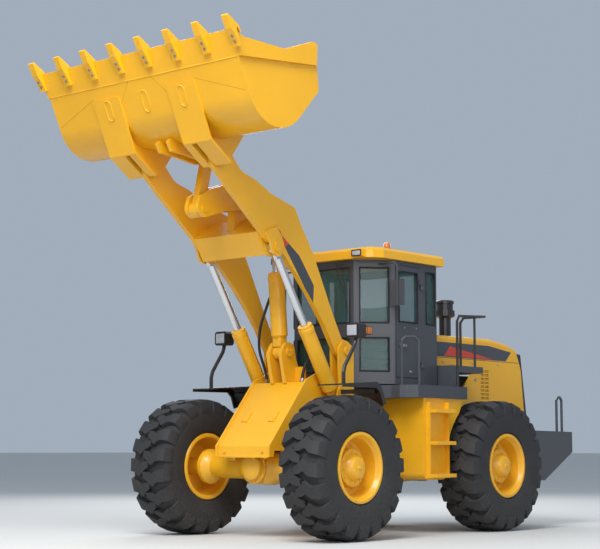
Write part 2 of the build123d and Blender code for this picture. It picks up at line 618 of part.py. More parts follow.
# ------------------------------------------------------------------ rear frame
def build_rear_frame():
    rear = [(RAIL_FRONT, 600, 0), (RAIL_FRONT, 1330, 0), (HINGE_X - 900, 1330, 0), (HINGE_X - 1000, RAIL_TOP, 0),
            (RAIL_BACK, RAIL_TOP, 0), (RAIL_BACK, AXLE_SEAT, 0), (HINGE_X - 1100, AXLE_SEAT, 0),
            (HINGE_X - 950, 640, 0)]
    inner = RAIL_HALF - RAIL_T
    frame = slab(rear, inner, RAIL_HALF) + slab(rear, -RAIL_HALF, -inner)
    frame += box(RAIL_FRONT - 40, RAIL_FRONT, -inner, inner, 600, 1330)
    for x in (HINGE_X - 1000, HINGE_X - 1800, RAIL_BACK):
        frame += box(x, x + 60, -inner, inner, AXLE_SEAT + 15, RAIL_TOP - 30)
    for side in (1, -1):
        for x in (HOOD_FRONT - 500, REAR_X - 1250):
            foot = box(x - 70, x, inner, HOOD_HALF, RAIL_TOP, RAIL_TOP + 30)
            foot += box(x - 70, x, HOOD_HALF - 60, HOOD_HALF, RAIL_TOP, HOOD_LOW)
            frame += foot if side > 0 else other_side(foot)
        for x in (HINGE_X - 550, HINGE_X - 860):
            arm = box(x - 40, x, inner, CAB_HALF - 60, 1330, PLATFORM_TOP - PLATFORM_T)
            frame += arm if side > 0 else other_side(arm)
    save("rear_frame", frame)


def build_rear_hinge():
    """Neck of the rear frame with the steering axis' pins, and the ears of the steering cylinders."""
    x_neck = HINGE_X - NECK_REACH
    neck = box(RAIL_FRONT, x_neck, -NECK_HALF, NECK_HALF, 560, 1320)
    neck -= box(RAIL_FRONT, x_neck - 30, -NECK_HALF + 30, NECK_HALF - 30, 590, 1290)
    step = HINGE_LUG_T + CLEAR
    middles = [z + sign * step for z in HINGE_Z for sign in (-1, 1)]
    for lug in hinge_lugs(middles, HINGE_LUG_T, NECK_REACH, -1):
        neck += Pos(HINGE_X, 0, 0) * lug
    for z in HINGE_Z:
        reach = step + HINGE_LUG_T / 2
        neck += post(HINGE_X, 0, HINGE_PIN_R, z - reach, z + reach + 14)
    x = HINGE_X + STEER_BASE[0]
    y = STEER_BASE[1]
    (low, ear_low), (ear_high, high) = steer_lug_heights()
    ears = post(x, y, STEER_PIN_R, low, high + 10)
    for z_low, z_high in ((low, ear_low), (ear_high, high)):
        ears += box(RAIL_FRONT, x, y - STEER_EYE_R, y + STEER_EYE_R, z_low, z_high)
        ears += collar(x, y, STEER_EYE_R, z_low, z_high, 12)
    save("rear_hinge", neck, ears, other_side(ears))


def build_engine():
    """Engine and gearbox as one plain block between the rails."""
    inner = RAIL_HALF - RAIL_T
    engine = box(REAR_X - 1250, HINGE_X - 1800, -inner, inner, AXLE_SEAT + 60, RAIL_TOP - 30)
    engine += box(REAR_X - 1200, HINGE_X - 1700, -300, 300, RAIL_TOP - 30, 1960)
    save("engine_block", engine)


def build_counterweight():
    """Cast weight that wraps the rails' ends, with a lifting loop on each side."""
    front, back = REAR_X - 980, REAR_X - 2125
    rows = [(front, 1246, 0), (back, 1232, 0), (back, 995, 60), (RAIL_BACK + 50, 590, 60), (front, 720, 0)]
    weight = slab(rows, -1100, 1100) & layer([(front, -1100, 0), (front, 1100, 0), (back + 60, 1100, 0),
                                              (back, 1040, 0), (back, -1040, 0), (back + 60, -1100, 0)], 500, 1300)
    weight -= box(RAIL_BACK, front + 10, -RAIL_HALF - 10, RAIL_HALF + 10, 500, 1300)
    x = back + 40
    loop = bar([(x, 930, 1225), (x, 930, 1700), (x + 130, 930, 1700), (x + 130, 930, 1225)], 18, 40)
    save("counterweight", weight + loop + other_side(loop))


def hood_rows():
    return [(HOOD_FRONT, WALK_TOP + 20, 0), (HOOD_FRONT, HOOD_TOP, 0), (REAR_X - 860, HOOD_TOP + 6, 0),
            (REAR_X - 1210, HOOD_TOP - 36, 0), (REAR_X - 1485, HOOD_TOP - 102, 90), (REAR_X - 1550, 2200, 0),
            (REAR_X - 1645, HOOD_LOW, 0), (REAR_X + 140, HOOD_LOW, 0), (REAR_X - 30, 1610, 0),
            (REAR_X - 392, 1955, 0), (REAR_X - 580, WALK_TOP + 20, 0)]


def build_hood():
    """Hood over the engine, open below and behind, with arched sides over the rear wheels."""
    hood = slab(hood_rows(), -HOOD_HALF, HOOD_HALF)
    long_edges = [e for e in hood.edges() if e.geom_type == GeomType.LINE and e.center().Z > HOOD_TOP - 110
                  and abs(abs(e.center().Y) - HOOD_HALF) < 1]
    hood = fillet(long_edges, 60)
    inside = [(HOOD_FRONT - HOOD_T, 1300, 0), (HOOD_FRONT - HOOD_T, HOOD_TOP - HOOD_T, 0),
              (REAR_X - 860, HOOD_TOP - 19, 0), (REAR_X - 1205, HOOD_TOP - 61, 0),
              (REAR_X - 1450, HOOD_TOP - 120, 0), (REAR_X - 1800, 2200, 0), (REAR_X - 1800, 1300, 0)]
    hood -= slab(inside, -HOOD_HALF + HOOD_T, HOOD_HALF - HOOD_T)
    louvres = []
    for i in range(8):
        z = 1650 + i * 50
        louvre = box(REAR_X - 790, REAR_X - 610, HOOD_HALF - 12, HOOD_HALF + 1, z, z + 26)
        louvres += [louvre, other_side(louvre)]
    save("hood", hood.cut(*louvres))


def build_grille():
    """Rear grille: a black surround with level slats in front of the radiator."""
    half = HOOD_HALF - HOOD_T
    r = REAR_X
    frame = slab([(r - 1522, 2200, 0), (r - 1485, 2285, 0), (r - 1600, 2270, 0), (r - 1740, HOOD_LOW, 0),
                  (r - 1616, HOOD_LOW, 0)], -half, half)
    frame -= box(r - 1800, r - 1400, -half + 90, half - 90, 1480, 2190)
    for i in range(9):
        z = 1500 + i * 76
        x = r - 1585 - (2200 - z) * 0.12
        frame += box(x - 40, x + 10, -half + 85, half - 85, z, z + 26)
    save("rear_grille", frame)


# ------------------------------------------------------------------ cab
def cab_plan(inset):
    """Cab outline in plan, moved inwards by inset."""
    slope = inset * 0.5
    return [(CAB_FRONT - inset, -CAB_FRONT_HALF + slope, 0), (CAB_FRONT - inset, CAB_FRONT_HALF - slope, 0),
            (CAB_CHAMFER_X - slope, CAB_HALF - inset, 0), (CAB_REAR + inset, CAB_HALF - inset, 0),
            (CAB_REAR + inset, -CAB_HALF + inset, 0), (CAB_CHAMFER_X - slope, -CAB_HALF + inset, 0)]


def corner_panel(margin, z_low, z_high, thickness):
    """Flat box on the slanted left front corner of the cab."""
    run = Vector(CAB_CHAMFER_X - CAB_FRONT, CAB_HALF - CAB_FRONT_HALF)
    middle = Vector((CAB_CHAMFER_X + CAB_FRONT) / 2, (CAB_HALF + CAB_FRONT_HALF) / 2)
    inward = Vector(-run.Y, run.X).normalized()
    middle = middle + inward * (CAB_WALL / 2)
    panel = Box(run.length - 2 * margin, thickness, z_high - z_low)
    return Pos(middle.X, middle.Y, (z_low + z_high) / 2) * Rot(0, 0, degrees(atan2(run.Y, run.X))) * panel


def build_cab():
    """Cab shell with its window openings, the glass in them, the door's hinge halves and the mirrors."""
    shell = layer(cab_plan(0), CAB_FLOOR_Z, CAB_TOP_Z) - layer(cab_plan(CAB_WALL), CAB_FLOOR_Z + 50, CAB_TOP_Z + 1)
    front, sides = [], []
    mid_x = CAB_FRONT - CAB_WALL / 2
    half = CAB_FRONT_HALF - 60
    for z_low, z_high in ((1930, 2330), (SILL_Z - 20, HEAD_Z)):
        front.append((box(CAB_FRONT - CAB_WALL - 1, CAB_FRONT + 1, -half, half, z_low, z_high),
                      box(mid_x, mid_x + GLASS_T, -half, half, z_low, z_high)))
        hole, pane = corner_panel(75, z_low, z_high, CAB_WALL * 2), corner_panel(75, z_low, z_high, GLASS_T)
        sides += [(hole, pane), (other_side(hole), other_side(pane))]
    glass_y = CAB_HALF - CAB_WALL / 2
    for side, x_low, x_high in ((1, CAB_REAR + 40, DOOR_BACK - 120), (-1, CAB_REAR + 40, DOOR_BACK - 120),
                                (-1, DOOR_BACK + 70, DOOR_FRONT - 60)):
        hole = box(x_low, x_high, glass_y - CAB_WALL, glass_y + CAB_WALL, SILL_Z, HEAD_Z)
        pane = box(x_low, x_high, glass_y, glass_y + GLASS_T, SILL_Z, HEAD_Z)
        sides.append((hole, pane) if side > 0 else (other_side(hole), other_side(pane)))
    half = CAB_HALF - 180
    sides.append((box(CAB_REAR - 1, CAB_REAR + CAB_WALL + 1, -half, half, SILL_Z, HEAD_Z),
                  box(CAB_REAR + CAB_WALL / 2, CAB_REAR + CAB_WALL / 2 + GLASS_T, -half, half, SILL_Z, HEAD_Z)))
    for hole, pane in front + sides:
        shell -= hole
    shell -= box(DOOR_BACK, DOOR_FRONT, CAB_HALF - CAB_WALL - 1, CAB_HALF + 1, DOOR_SILL, DOOR_HEAD)
    for z in DOOR_HINGES:
        knuckle = post(DOOR_HINGE_X, DOOR_HINGE_Y, 14, z - 60, z)
        knuckle += box(DOOR_HINGE_X - 40, DOOR_HINGE_X, CAB_HALF, DOOR_HINGE_Y + 14, z - 60, z)
        shell += knuckle + post(DOOR_HINGE_X, DOOR_HINGE_Y, DOOR_PIN_R, z, z + 62)
    arm_x, arm_y = CAB_CHAMFER_X + 150, CAB_HALF + 150
    mirror_arm = bar([(arm_x, CAB_HALF - 130, 3215), (arm_x, arm_y, 3215), (arm_x, arm_y, 2700)], 12, 40)
    mirror_arm += box(arm_x - 45, arm_x - 10, arm_y - 105, arm_y + 75, 2700, 3010)
    shell += mirror_arm + other_side(mirror_arm)
    save("cab_shell", shell)
    save("windscreen", *[pane for hole, pane in front])
    save("cab_glass", *[pane for hole, pane in sides])


def build_door():
    low, high = DOOR_SILL + DOOR_GAP, DOOR_HEAD - DOOR_GAP
    back, front = DOOR_BACK + DOOR_GAP, DOOR_FRONT - DOOR_GAP
    inner = CAB_HALF - 45
    window = box(back + 60, front - 50, inner - 1, CAB_HALF + 20, SILL_Z, HEAD_Z - 30)
    door = box(back, front, inner, CAB_HALF + 6, low, high) - window
    door += box(front - 130, front - 50, CAB_HALF + 6, CAB_HALF + 30, 2230, 2262)
    for z in DOOR_HINGES:
        knuckle = post(DOOR_HINGE_X, DOOR_HINGE_Y, 14, z + 2, z + 60)
        knuckle += box(DOOR_HINGE_X, DOOR_HINGE_X + 50, CAB_HALF + 6, DOOR_HINGE_Y + 14, z + 2, z + 60)
        door += knuckle - post(DOOR_HINGE_X, DOOR_HINGE_Y, DOOR_PIN_R + PIN_FIT, z, z + 62)
    save("door_left", door)
    save("door_glass", box(back + 60, front - 50, CAB_HALF - 25, CAB_HALF - 25 + GLASS_T, SILL_Z, HEAD_Z - 30))


def build_roof():
    """Roof cap with chamfered edges, two front lamps and the beacon's socket."""
    front, out = CAB_FRONT + 95, CAB_HALF + ROOF_OVER
    left = [(front, CAB_HALF - 60, 0), (front - 60, CAB_HALF, 0), (CAB_FRONT - 90, out, 0),
            (CAB_REAR - 80, out, 0), (CAB_REAR - 110, out - 30, 0)]
    rows = left + [(x, -y, r) for x, y, r in reversed(left)]
    roof = layer(rows, CAB_TOP_Z, CAB_TOP_Z + ROOF_T)
    roof = chamfer(roof.edges().group_by(Axis.Z)[-1], 36)
    for y in (CAB_HALF - 160, 160 - CAB_HALF):
        roof += box(front, front + 60, y - 75, y + 75, CAB_TOP_Z + 12, CAB_TOP_Z + 92)
    roof += Pos(CAB_FRONT - 620, 500, CAB_TOP_Z + ROOF_T - 4) * extrude(RegularPolygon(60, 12), 52)
    save("cab_roof", roof)


def build_cab_inside():
    """Seat on its plinth, and the steering column with its wheel."""
    floor = CAB_FLOOR_Z + 50
    top = CAB_FLOOR_Z + 450
    x = HINGE_X
    seat = slab([(x - 630, top - 120, 0), (x - 150, top - 120, 0), (x - 150, top, 50), (x - 480, top - 10, 0),
                 (x - 590, 2850, 0), (x - 710, 2850, 0)], -250, 250)
    seat += box(x - 530, x - 230, -150, 150, floor, top - 120)
    save("seat", seat)
    head = (x + 70, 0, 2480)
    column = bar([(x + 250, 0, CAB_FLOOR_Z), head], 45, 0) & box(-3000, 0, -500, 500, floor, 3000)
    column += box(x + 120, x + 330, -140, 140, floor, 2260)
    place = Plane(origin=head, z_dir=(-0.25, 0, 0.97))
    ring = drum([(-14, 182), (0, 196), (14, 182)], 18) - drum([(-15, 166), (15, 166)], 18)
    spokes = box(-180, 180, -8, 8, -18, 18) + drum([(-25, 50), (12, 50)], 8)
    save("steering_column", column + place * Rot(90, 0, 0) * (ring + spokes))


# ------------------------------------------------------------------ platform and what stands on it
def build_platform():
    """Deck round the cab with raised walkways beside the hood, the cab's mounts and the grab rails."""
    left = [(CAB_FRONT - 45, 425, 0), (HINGE_X + 76, CAB_HALF + 16, 0), (HINGE_X + 130, CAB_HALF + 50, 0),
            (HINGE_X + 130, PLATFORM_HALF - 175, 0), (HINGE_X, PLATFORM_HALF, 0), (PLATFORM_BACK, PLATFORM_HALF, 0)]
    rows = left + [(x, -y, r) for x, y, r in reversed(left)]
    deck = layer(rows, PLATFORM_TOP - PLATFORM_T, PLATFORM_TOP)
    for x in (HINGE_X + 150, HINGE_X - 750):
        mount = box(x - 60, x + 60, 500, 620, PLATFORM_TOP, CAB_FLOOR_Z)
        deck += mount + other_side(mount)
    walk = box(WALK_BACK, PLATFORM_BACK + 130, HOOD_HALF + 20, WALK_OUT, WALK_TOP - 80, WALK_TOP)
    walk += box(PLATFORM_BACK, PLATFORM_BACK + 130, HOOD_HALF + 20, WALK_OUT, PLATFORM_TOP, WALK_TOP - 80)
    start = Vector(HINGE_X + 130, PLATFORM_HALF - 175)
    end = Vector(HINGE_X, PLATFORM_HALF)
    feet = [start + (end - start) * 0.05, start + (end - start) * 1.0 + Vector(-60, -30)]
    rail = bar([(feet[0].X - 25, feet[0].Y, PLATFORM_TOP), (feet[0].X - 25, feet[0].Y, 2330),
                (feet[1].X, feet[1].Y, 2330), (feet[1].X, feet[1].Y, PLATFORM_TOP)], 15, 45)
    side = walk + rail
    save("platform", deck + side + other_side(side))


def build_tank():
    """Tank box between the wheels, under the platform."""
    top = PLATFORM_TOP - PLATFORM_T
    front = HINGE_X - 140
    rows = [(front, 640, 80), (front, top, 0), (REAR_X + 480, top, 0), (REAR_X + 720, 1180, 300),
            (REAR_X + 870, 640, 80)]
    tank = slab(rows, RAIL_HALF + 40, PLATFORM_HALF - 30)
    tank -= box(HINGE_X - 990, HINGE_X - 500, RAIL_HALF, CAB_HALF - 60, 1330, top)
    tank -= pin((REAR_X, AXLE_Z), TYRE_R + 60, 0, 2000)
    tank += box(RAIL_FRONT - 160, RAIL_FRONT - 60, RAIL_HALF, RAIL_HALF + 40, 800, 1200)
    save_pair("tank", tank)


def build_steps():
    """Ladder of three treads hung outside the tank."""
    y_low, y_high = PLATFORM_HALF - 30, PLATFORM_HALF + 130
    front, back = HINGE_X - 190, HINGE_X - 580
    ladder = box(front - 12, front, y_low, y_low + 60, 660, 1560) + box(back, back + 12, y_low, y_low + 60, 660, 1560)
    for z in (690, 1075, 1455):
        ladder += box(back, front, y_low, y_high, z - 22, z + 22)
    save_pair("steps", ladder)


def build_handrail():
    """Rail over the platform's rear corner and the walkway, on three posts."""
    y = PLATFORM_HALF - 20
    out = (HINGE_X - 837, y)
    end = (WALK_BACK - 200, WALK_OUT - 100)
    back = (WALK_BACK + 300, WALK_OUT - 130)
    rail = bar([(*out, PLATFORM_TOP), (*out, 2630), (*end, 2690)], 17, 60)
    rail += bar([(*end, 2690), (*back, 2640), (*back, WALK_TOP)], 17, 60)
    share = (WALK_OUT - 20 - y) / (end[1] - y)
    middle = (out[0] + (end[0] - out[0]) * share, WALK_OUT - 20)
    rail += strut((*middle, WALK_TOP), (*middle, 2630 + 60 * share), 15)
    save_pair("handrail", rail)


def build_precleaner():
    """Air intake's upright pipe with the cleaner's bowl on it."""
    place = Pos(HOOD_FRONT - 670, 300, 0) * Rot(-90, 0, 0)
    stem = drum([(-HOOD_TOP - 265, 75), (-HOOD_TOP + 10, 75)], 14)
    bowl = drum([(-2800, 124), (-2725, 128), (-2700, 80)], 14) + drum([(-2890, 105), (-2800, 105)], 14)
    cap = drum([(-2932, 100), (-2918, 118), (-2890, 118)], 14)
    save("precleaner", place * (stem + bowl + cap) - slab(hood_rows(), -HOOD_HALF, HOOD_HALF))


build_wheels()
build_axle("front_axle", 0)
build_axle("rear_axle", REAR_X)
build_front_frame()
build_front_hinge()
build_tower()
build_fender()
build_arm()
build_cross_beam()
build_bellcrank()
build_link()
build_bucket()
build_lift()
build_tilt()
build_steering()
build_rear_frame()
build_rear_hinge()
build_engine()
build_counterweight()
build_hood()
build_grille()
build_cab()
build_door()
build_roof()
build_cab_inside()
build_platform()
build_tank()
build_steps()
build_handrail()
build_precleaner()
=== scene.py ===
"""Looks of the wheel loader, laid out as an add-on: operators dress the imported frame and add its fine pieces."""

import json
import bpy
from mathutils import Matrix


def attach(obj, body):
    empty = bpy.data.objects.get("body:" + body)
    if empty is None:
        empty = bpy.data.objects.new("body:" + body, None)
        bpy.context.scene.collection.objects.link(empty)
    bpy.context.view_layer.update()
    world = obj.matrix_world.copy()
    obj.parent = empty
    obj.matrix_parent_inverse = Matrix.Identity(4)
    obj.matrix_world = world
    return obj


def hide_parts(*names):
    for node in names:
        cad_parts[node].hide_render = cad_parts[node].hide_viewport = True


bl_info = {
    "name": "Wheel loader looks",
    "version": (1, 0, 0),
    "blender": (4, 5, 0),
    "location": "View3D > Sidebar > Loader",
    "description": "Paint, rubber, glass and fine pieces for an articulated wheel loader, and its stage",
    "category": "Object",
}

from math import atan2, cos, pi, radians, sin

import bmesh
import bpy
from mathutils import Matrix, Vector

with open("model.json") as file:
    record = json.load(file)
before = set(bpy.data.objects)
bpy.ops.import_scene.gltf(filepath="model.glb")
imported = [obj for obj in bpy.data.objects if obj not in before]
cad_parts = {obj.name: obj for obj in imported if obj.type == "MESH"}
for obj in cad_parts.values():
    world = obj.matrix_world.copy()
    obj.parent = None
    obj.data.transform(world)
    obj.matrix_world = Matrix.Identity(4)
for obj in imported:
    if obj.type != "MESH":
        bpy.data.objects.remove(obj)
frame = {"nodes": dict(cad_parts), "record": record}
NODES = frame["nodes"]


# ---------------------------------------------------------------- shader expressions
class Socket:
    """A shader output that takes part in Python expressions, adding its Math nodes."""

    def __init__(self, tree, out):
        self.tree = tree
        self.out = out

    def math(self, operation, *values):
        return self.tree.node("ShaderNodeMath", {"operation": operation}, [self, *values])

    def __add__(self, other):
        return self.math("ADD", other)

    def __sub__(self, other):
        return self.math("SUBTRACT", other)

    def __mul__(self, other):
        return self.math("MULTIPLY", other)

    def __truediv__(self, other):
        return self.math("DIVIDE", other)

    def __rsub__(self, other):
        return self.tree.node("ShaderNodeMath", {"operation": "SUBTRACT"}, [other, self])

    __radd__ = __add__
    __rmul__ = __mul__

    def above(self, edge, soft=0.002):
        """1 where the value is over the edge, with a soft step."""
        return ((self - edge) / soft + 0.5).math("MINIMUM", 1.0).math("MAXIMUM", 0.0)

    def below(self, edge, soft=0.002):
        return 1 - self.above(edge, soft)

    def within(self, low, high, soft=0.002):
        return self.above(low, soft) * self.below(high, soft)

    def absolute(self):
        return self.math("ABSOLUTE")


class Tree:
    """The nodes of one material."""

    def __init__(self, name):
        self.material = bpy.data.materials.new(name)
        self.material.use_nodes = True
        self.nodes = self.material.node_tree.nodes
        self.links = self.material.node_tree.links
        self.shader = self.nodes["Principled BSDF"]

    def put(self, socket, value):
        if isinstance(value, Socket):
            self.links.new(value.out, socket)
        elif isinstance(value, (tuple, list)) and len(value) == 3 and socket.type == "RGBA":
            socket.default_value = (*value, 1.0)
        else:
            socket.default_value = value

    def node(self, kind, settings, sockets, output=0):
        made = self.nodes.new(kind)
        for key, value in settings.items():
            setattr(made, key, value)
        pairs = sockets.items() if isinstance(sockets, dict) else enumerate(sockets)
        for key, value in pairs:
            self.put(made.inputs[key], value)
        return Socket(self, made.outputs[output])

    def place(self):
        """Object coordinates as (vector, x, y, z)."""
        vector = self.node("ShaderNodeTexCoord", {}, [], "Object")
        parts = self.nodes.new("ShaderNodeSeparateXYZ")
        self.links.new(vector.out, parts.inputs[0])
        return (vector, *[Socket(self, parts.outputs[i]) for i in range(3)])

    def noise(self, vector, scale, detail=3.0, rough=0.55):
        return self.node("ShaderNodeTexNoise", {}, {"Vector": vector, "Scale": scale, "Detail": detail,
                                                    "Roughness": rough}, "Fac")

    def mix(self, factor, low, high):
        made = self.nodes.new("ShaderNodeMix")
        made.data_type = "RGBA"
        self.put(made.inputs[0], factor)
        self.put(made.inputs[6], low)
        self.put(made.inputs[7], high)
        return Socket(self, made.outputs[2])

    def bump(self, height, strength=0.3, distance=0.002):
        return self.node("ShaderNodeBump", {}, {"Strength": strength, "Distance": distance, "Height": height})

    def finish(self, **sockets):
        for key, value in sockets.items():
            self.put(self.shader.inputs[key.replace("_", " ")], value)
        return self.material


def shades(colour, factor):
    return tuple(channel * factor for channel in colour)


DUST = (0.30, 0.25, 0.18)
YELLOW = (0.86, 0.43, 0.008)
CHARCOAL = (0.050, 0.054, 0.066)
BLACK = (0.012, 0.012, 0.014)
RED = (0.62, 0.045, 0.015)
PRIMER = (0.20, 0.17, 0.13)
DUST_TOP = 1.3                 # dust and chips fade out over this height


def paint(name, colour, rough=0.35, coat=0.22, dust=0.10, mask=None):
    """Enamel with a faint orange peel, patchy sheen, small chips and dust that gathers low down."""
    tree = Tree(name)
    vector, x, y, z = tree.place()
    broad = tree.noise(vector, 1.7)
    fine = tree.noise(vector, 26.0, 4.0)
    grit = tree.noise(vector, 240.0, 2.0)
    base = tree.mix(broad, shades(colour, 0.88), shades(colour, 1.08))
    if mask:
        base = mask(tree, x, y, z, base)
    low = z.below(DUST_TOP, 1.8)
    chips = (fine * 0.55 + grit * 0.45).above(0.70, 0.01) * low
    base = tree.mix(chips * 0.7, base, PRIMER)
    film = (fine * 1.4 - 0.35).math("MAXIMUM", 0.0) * low * dust + fine * 0.03
    base = tree.mix(film, base, DUST)
    peel = tree.bump(grit * 0.25 + fine * 0.5, 0.12, 0.0015)
    return tree.finish(Base_Color=base, Roughness=fine * 0.16 + chips * 0.3 + (rough - 0.06), Coat_Weight=coat,
                       Coat_Roughness=0.12, Normal=peel)


def hood_band(tree, x, y, z, base):
    """Dark band along the hood's side with a red wedge at its front, and a seam under it; the recess behind the louvre
    blades is painted black as painted shade.
    """
    side = y.absolute().above(HOOD_SIDE - 0.020, 0.002) * x.below(HOOD_FRONT)
    slanted_end = (x + 2.752 + (z - 2.171) * 1.042).above(0.0, 0.004)
    top = ((x + 2.35) * 0.12).math("MINIMUM", 0.0) + 2.352
    band = z.above(BAND_LOW) * (top - z).above(0.0) * side * slanted_end
    over = (z - 2.180 - (x - WEDGE_REAR) * 0.129).below(0.0, 0.003)
    ahead = (x + 1.333 + (z - 2.173) * 1.0).below(0.0, 0.003)
    wedge = over * ahead * z.above(2.178) * x.above(WEDGE_REAR)
    base = tree.mix(band, base, CHARCOAL)
    base = tree.mix(band * wedge, base, RED)
    seam = z.within(BAND_LOW - 0.015, BAND_LOW - 0.007, 0.001) * side
    # painted shade: the recessed faces behind the louvre blades are painted black, standing in for the shaded engine
    # bay seen through the slots
    slots = x.within(LOUVRE_REAR - 0.005, LOUVRE_FRONT + 0.005) * z.within(1.640, 2.040)
    slots *= y.absolute().below(HOOD_SIDE - 0.0015, 0.0005)
    inner = y.absolute().above(HOOD_SIDE - 0.020)
    return tree.mix((seam + slots * inner).math("MINIMUM", 1.0) * 0.9, base, BLACK)


def arm_stripe(tree, x, y, z, base):
    """Dark stripe that tapers along the boom arm's outer face, with a red tip at its upper end."""
    start, end = Vector((1.800, 3.474)), Vector((1.149, 2.652))
    along = (end - start).normalized()
    run = (end - start).length
    s = (x - start.x) * along.x + (z - start.y) * along.y
    aside = (x - start.x) * along.y - (z - start.y) * along.x
    outer = y.absolute().above(ARM_OUT - 0.004, 0.001)
    width = (s * 0.32).math("MINIMUM", 0.15).math("MINIMUM", (run - s) * 0.9)
    stripe = (width - aside).above(0.0, 0.003) * aside.above(0.0, 0.003) * outer
    base = tree.mix(stripe, base, CHARCOAL)
    return tree.mix(stripe * s.below(0.26, 0.004), base, RED)


def shell_seams(tree, x, y, z, base):
    """Weld seams across the underside of the bucket's floor."""
    along = (x - LIP.x) * FLOOR.x + (z - LIP.z) * FLOOR.z
    wide = y.absolute()
    outer = (along + 0.405 + (wide - 0.78) * 0.36).absolute().below(0.004, 0.003) * wide.within(0.78, 1.44)
    inner = (along + 0.29 + (wide - 0.175) * 1.15).absolute().below(0.005, 0.003) * wide.within(0.175, 0.37)
    return tree.mix((outer + inner).math("MINIMUM", 1.0) * 0.55, base, shades(YELLOW, 0.35))


def rubber(name, colour=(0.020, 0.020, 0.022)):
    """Tyre rubber: dusty in the grooves, with fine moulded grain."""
    tree = Tree(name)
    vector, x, y, z = tree.place()
    broad = tree.noise(vector, 3.0)
    fine = tree.noise(vector, 40.0, 5.0)
    grit = tree.noise(vector, 320.0, 2.0)
    base = tree.mix(broad, shades(colour, 0.75), shades(colour, 1.5))
    base = tree.mix((fine - 0.42).math("MAXIMUM", 0.0) * z.below(0.7, 1.6) * 0.8, base, shades(DUST, 0.6))
    grain = tree.bump(grit * 0.5 + fine, 0.25, 0.003)
    return tree.finish(Base_Color=base, Roughness=fine * 0.25 + 0.62, Normal=grain)


def tread_plate(name, colour):
    """Painted deck plate with a raised diamond pattern."""
    tree = Tree(name)
    vector, x, y, z = tree.place()
    fine = tree.noise(vector, 26.0, 4.0)
    one = ((x + y) * 110.0).math("SINE")
    two = ((x - y) * 110.0).math("SINE")
    diamonds = (one * two).above(0.55, 0.2)
    base = tree.mix(diamonds * 0.25 + fine * 0.2, colour, shades(colour, 1.9))
    pattern = tree.bump(diamonds + fine * 0.2, 0.5, 0.003)
    return tree.finish(Base_Color=base, Roughness=fine * 0.2 + 0.42, Normal=pattern)


def cloth(name, colour):
    """Woven seat cloth."""
    tree = Tree(name)
    vector, x, y, z = tree.place()
    fine = tree.noise(vector, 60.0, 3.0)
    weave = ((x + z) * 900.0).math("SINE") * (y * 900.0).math("SINE")
    base = tree.mix(fine * 0.5 + weave * 0.15, colour, shades(colour, 2.0))
    return tree.finish(Base_Color=base, Roughness=0.92, Normal=tree.bump(weave * 0.5 + fine, 0.4, 0.002))


def plain(name, colour, rough, metallic=0.0, alpha=1.0, coat=0.0, grain=180.0):
    """Even finish with a fine grain in its colour and gloss."""
    tree = Tree(name)
    vector, x, y, z = tree.place()
    fine = tree.noise(vector, grain, 3.0)
    base = tree.mix(fine, shades(colour, 0.85), shades(colour, 1.1))
    relief = tree.bump(fine, 0.06, 0.0005)
    return tree.finish(Base_Color=base, Roughness=fine * 0.08 + rough, Metallic=metallic, Alpha=alpha,
                       Coat_Weight=coat, Normal=relief)


def lens(name, colour):
    """Ribbed lamp lens."""
    tree = Tree(name)
    vector, x, y, z = tree.place()
    ribs = (y * 420.0).math("SINE")
    fine = tree.noise(vector, 90.0, 2.0)
    # painted highlight and shade: the base colour is lighter on the rib crests and darker in the troughs
    base = tree.mix(ribs * 0.25 + 0.4, shades(colour, 0.55), colour)
    ridges = tree.bump(ribs, 0.5, 0.003)
    return tree.finish(Base_Color=base, Roughness=fine * 0.1 + 0.08, Coat_Weight=0.8, Normal=ridges)


# ---------------------------------------------------------------- places
def spot(x, y, z):
    """Point from millimetres ahead of the front axle, to the left and up."""
    return Vector((x / 1000 + AXLE_X, y / 1000, z / 1000))


JOINTS = {joint["name"]: joint for joint in frame["record"]["behaviour"]["joints"]}
AXLE_X = JOINTS["wheel_front_left_roll"]["pos_m"][0]
REAR_X = JOINTS["wheel_rear_left_roll"]["pos_m"][0]
AXLE_Z = JOINTS["wheel_front_left_roll"]["pos_m"][2]
TRACK = JOINTS["wheel_front_left_roll"]["pos_m"][1] * 2
BOOM_PIN = Vector(JOINTS["boom_lift"]["pos_m"])
BUCKET_PIN = Vector(JOINTS["bucket_tilt"]["pos_m"])
CRANK_PIN = Vector(JOINTS["bellcrank_turn"]["pos_m"])
TILT_BASE = Vector(JOINTS["tilt_barrel_turn"]["pos_m"])
TILT_EYE = spot(-130, 0, 3800)
LIFT_EYE = spot(440, 0, 3262)
LIP = spot(2164, 0, 5246)
HEEL = spot(1577, 0, 3970)
FLOOR = (LIP - HEEL).normalized()
UNDER = Vector((FLOOR.z, 0, -FLOOR.x))
ARM_MID, ARM_OUT = 0.5225, 0.555
PLATE_OUT = 0.593              # outer face of the plates outside the arms
FRAME_HALF = 0.388             # middle of the front frame's side welds
HOOD_SIDE = 0.620
HOOD_FRONT = -1.13
BAND_LOW = 2.165
WEDGE_REAR = -2.43
LOUVRE_REAR, LOUVRE_FRONT = REAR_X - 0.790, REAR_X - 0.610
CAB_FRONT = AXLE_X - 1.060
CAB_SLANT = AXLE_X - 1.440     # where the side wall turns in towards the windscreen
CAB_REAR = AXLE_X - 2.290
CAB_HALF, SCREEN_HALF = 0.800, 0.470
WINDOW_ROWS = ((1.93, 2.33), (2.51, 3.17))
WHEELS = [("front_left", AXLE_X, 1), ("front_right", AXLE_X, -1), ("rear_left", REAR_X, 1), ("rear_right", REAR_X, -1)]


def floor_spot(ahead, y, proud):
    """Point under the bucket's floor: ahead of the lip, to the left, and out from the underside."""
    point = LIP + FLOOR * ahead + UNDER * proud
    return Vector((point.x, y, point.z))


def aim(origin, direction):
    """Placement whose Z axis points along direction."""
    turn = Vector(direction).to_track_quat("Z", "Y").to_matrix().to_4x4()
    return Matrix.Translation(origin) @ turn


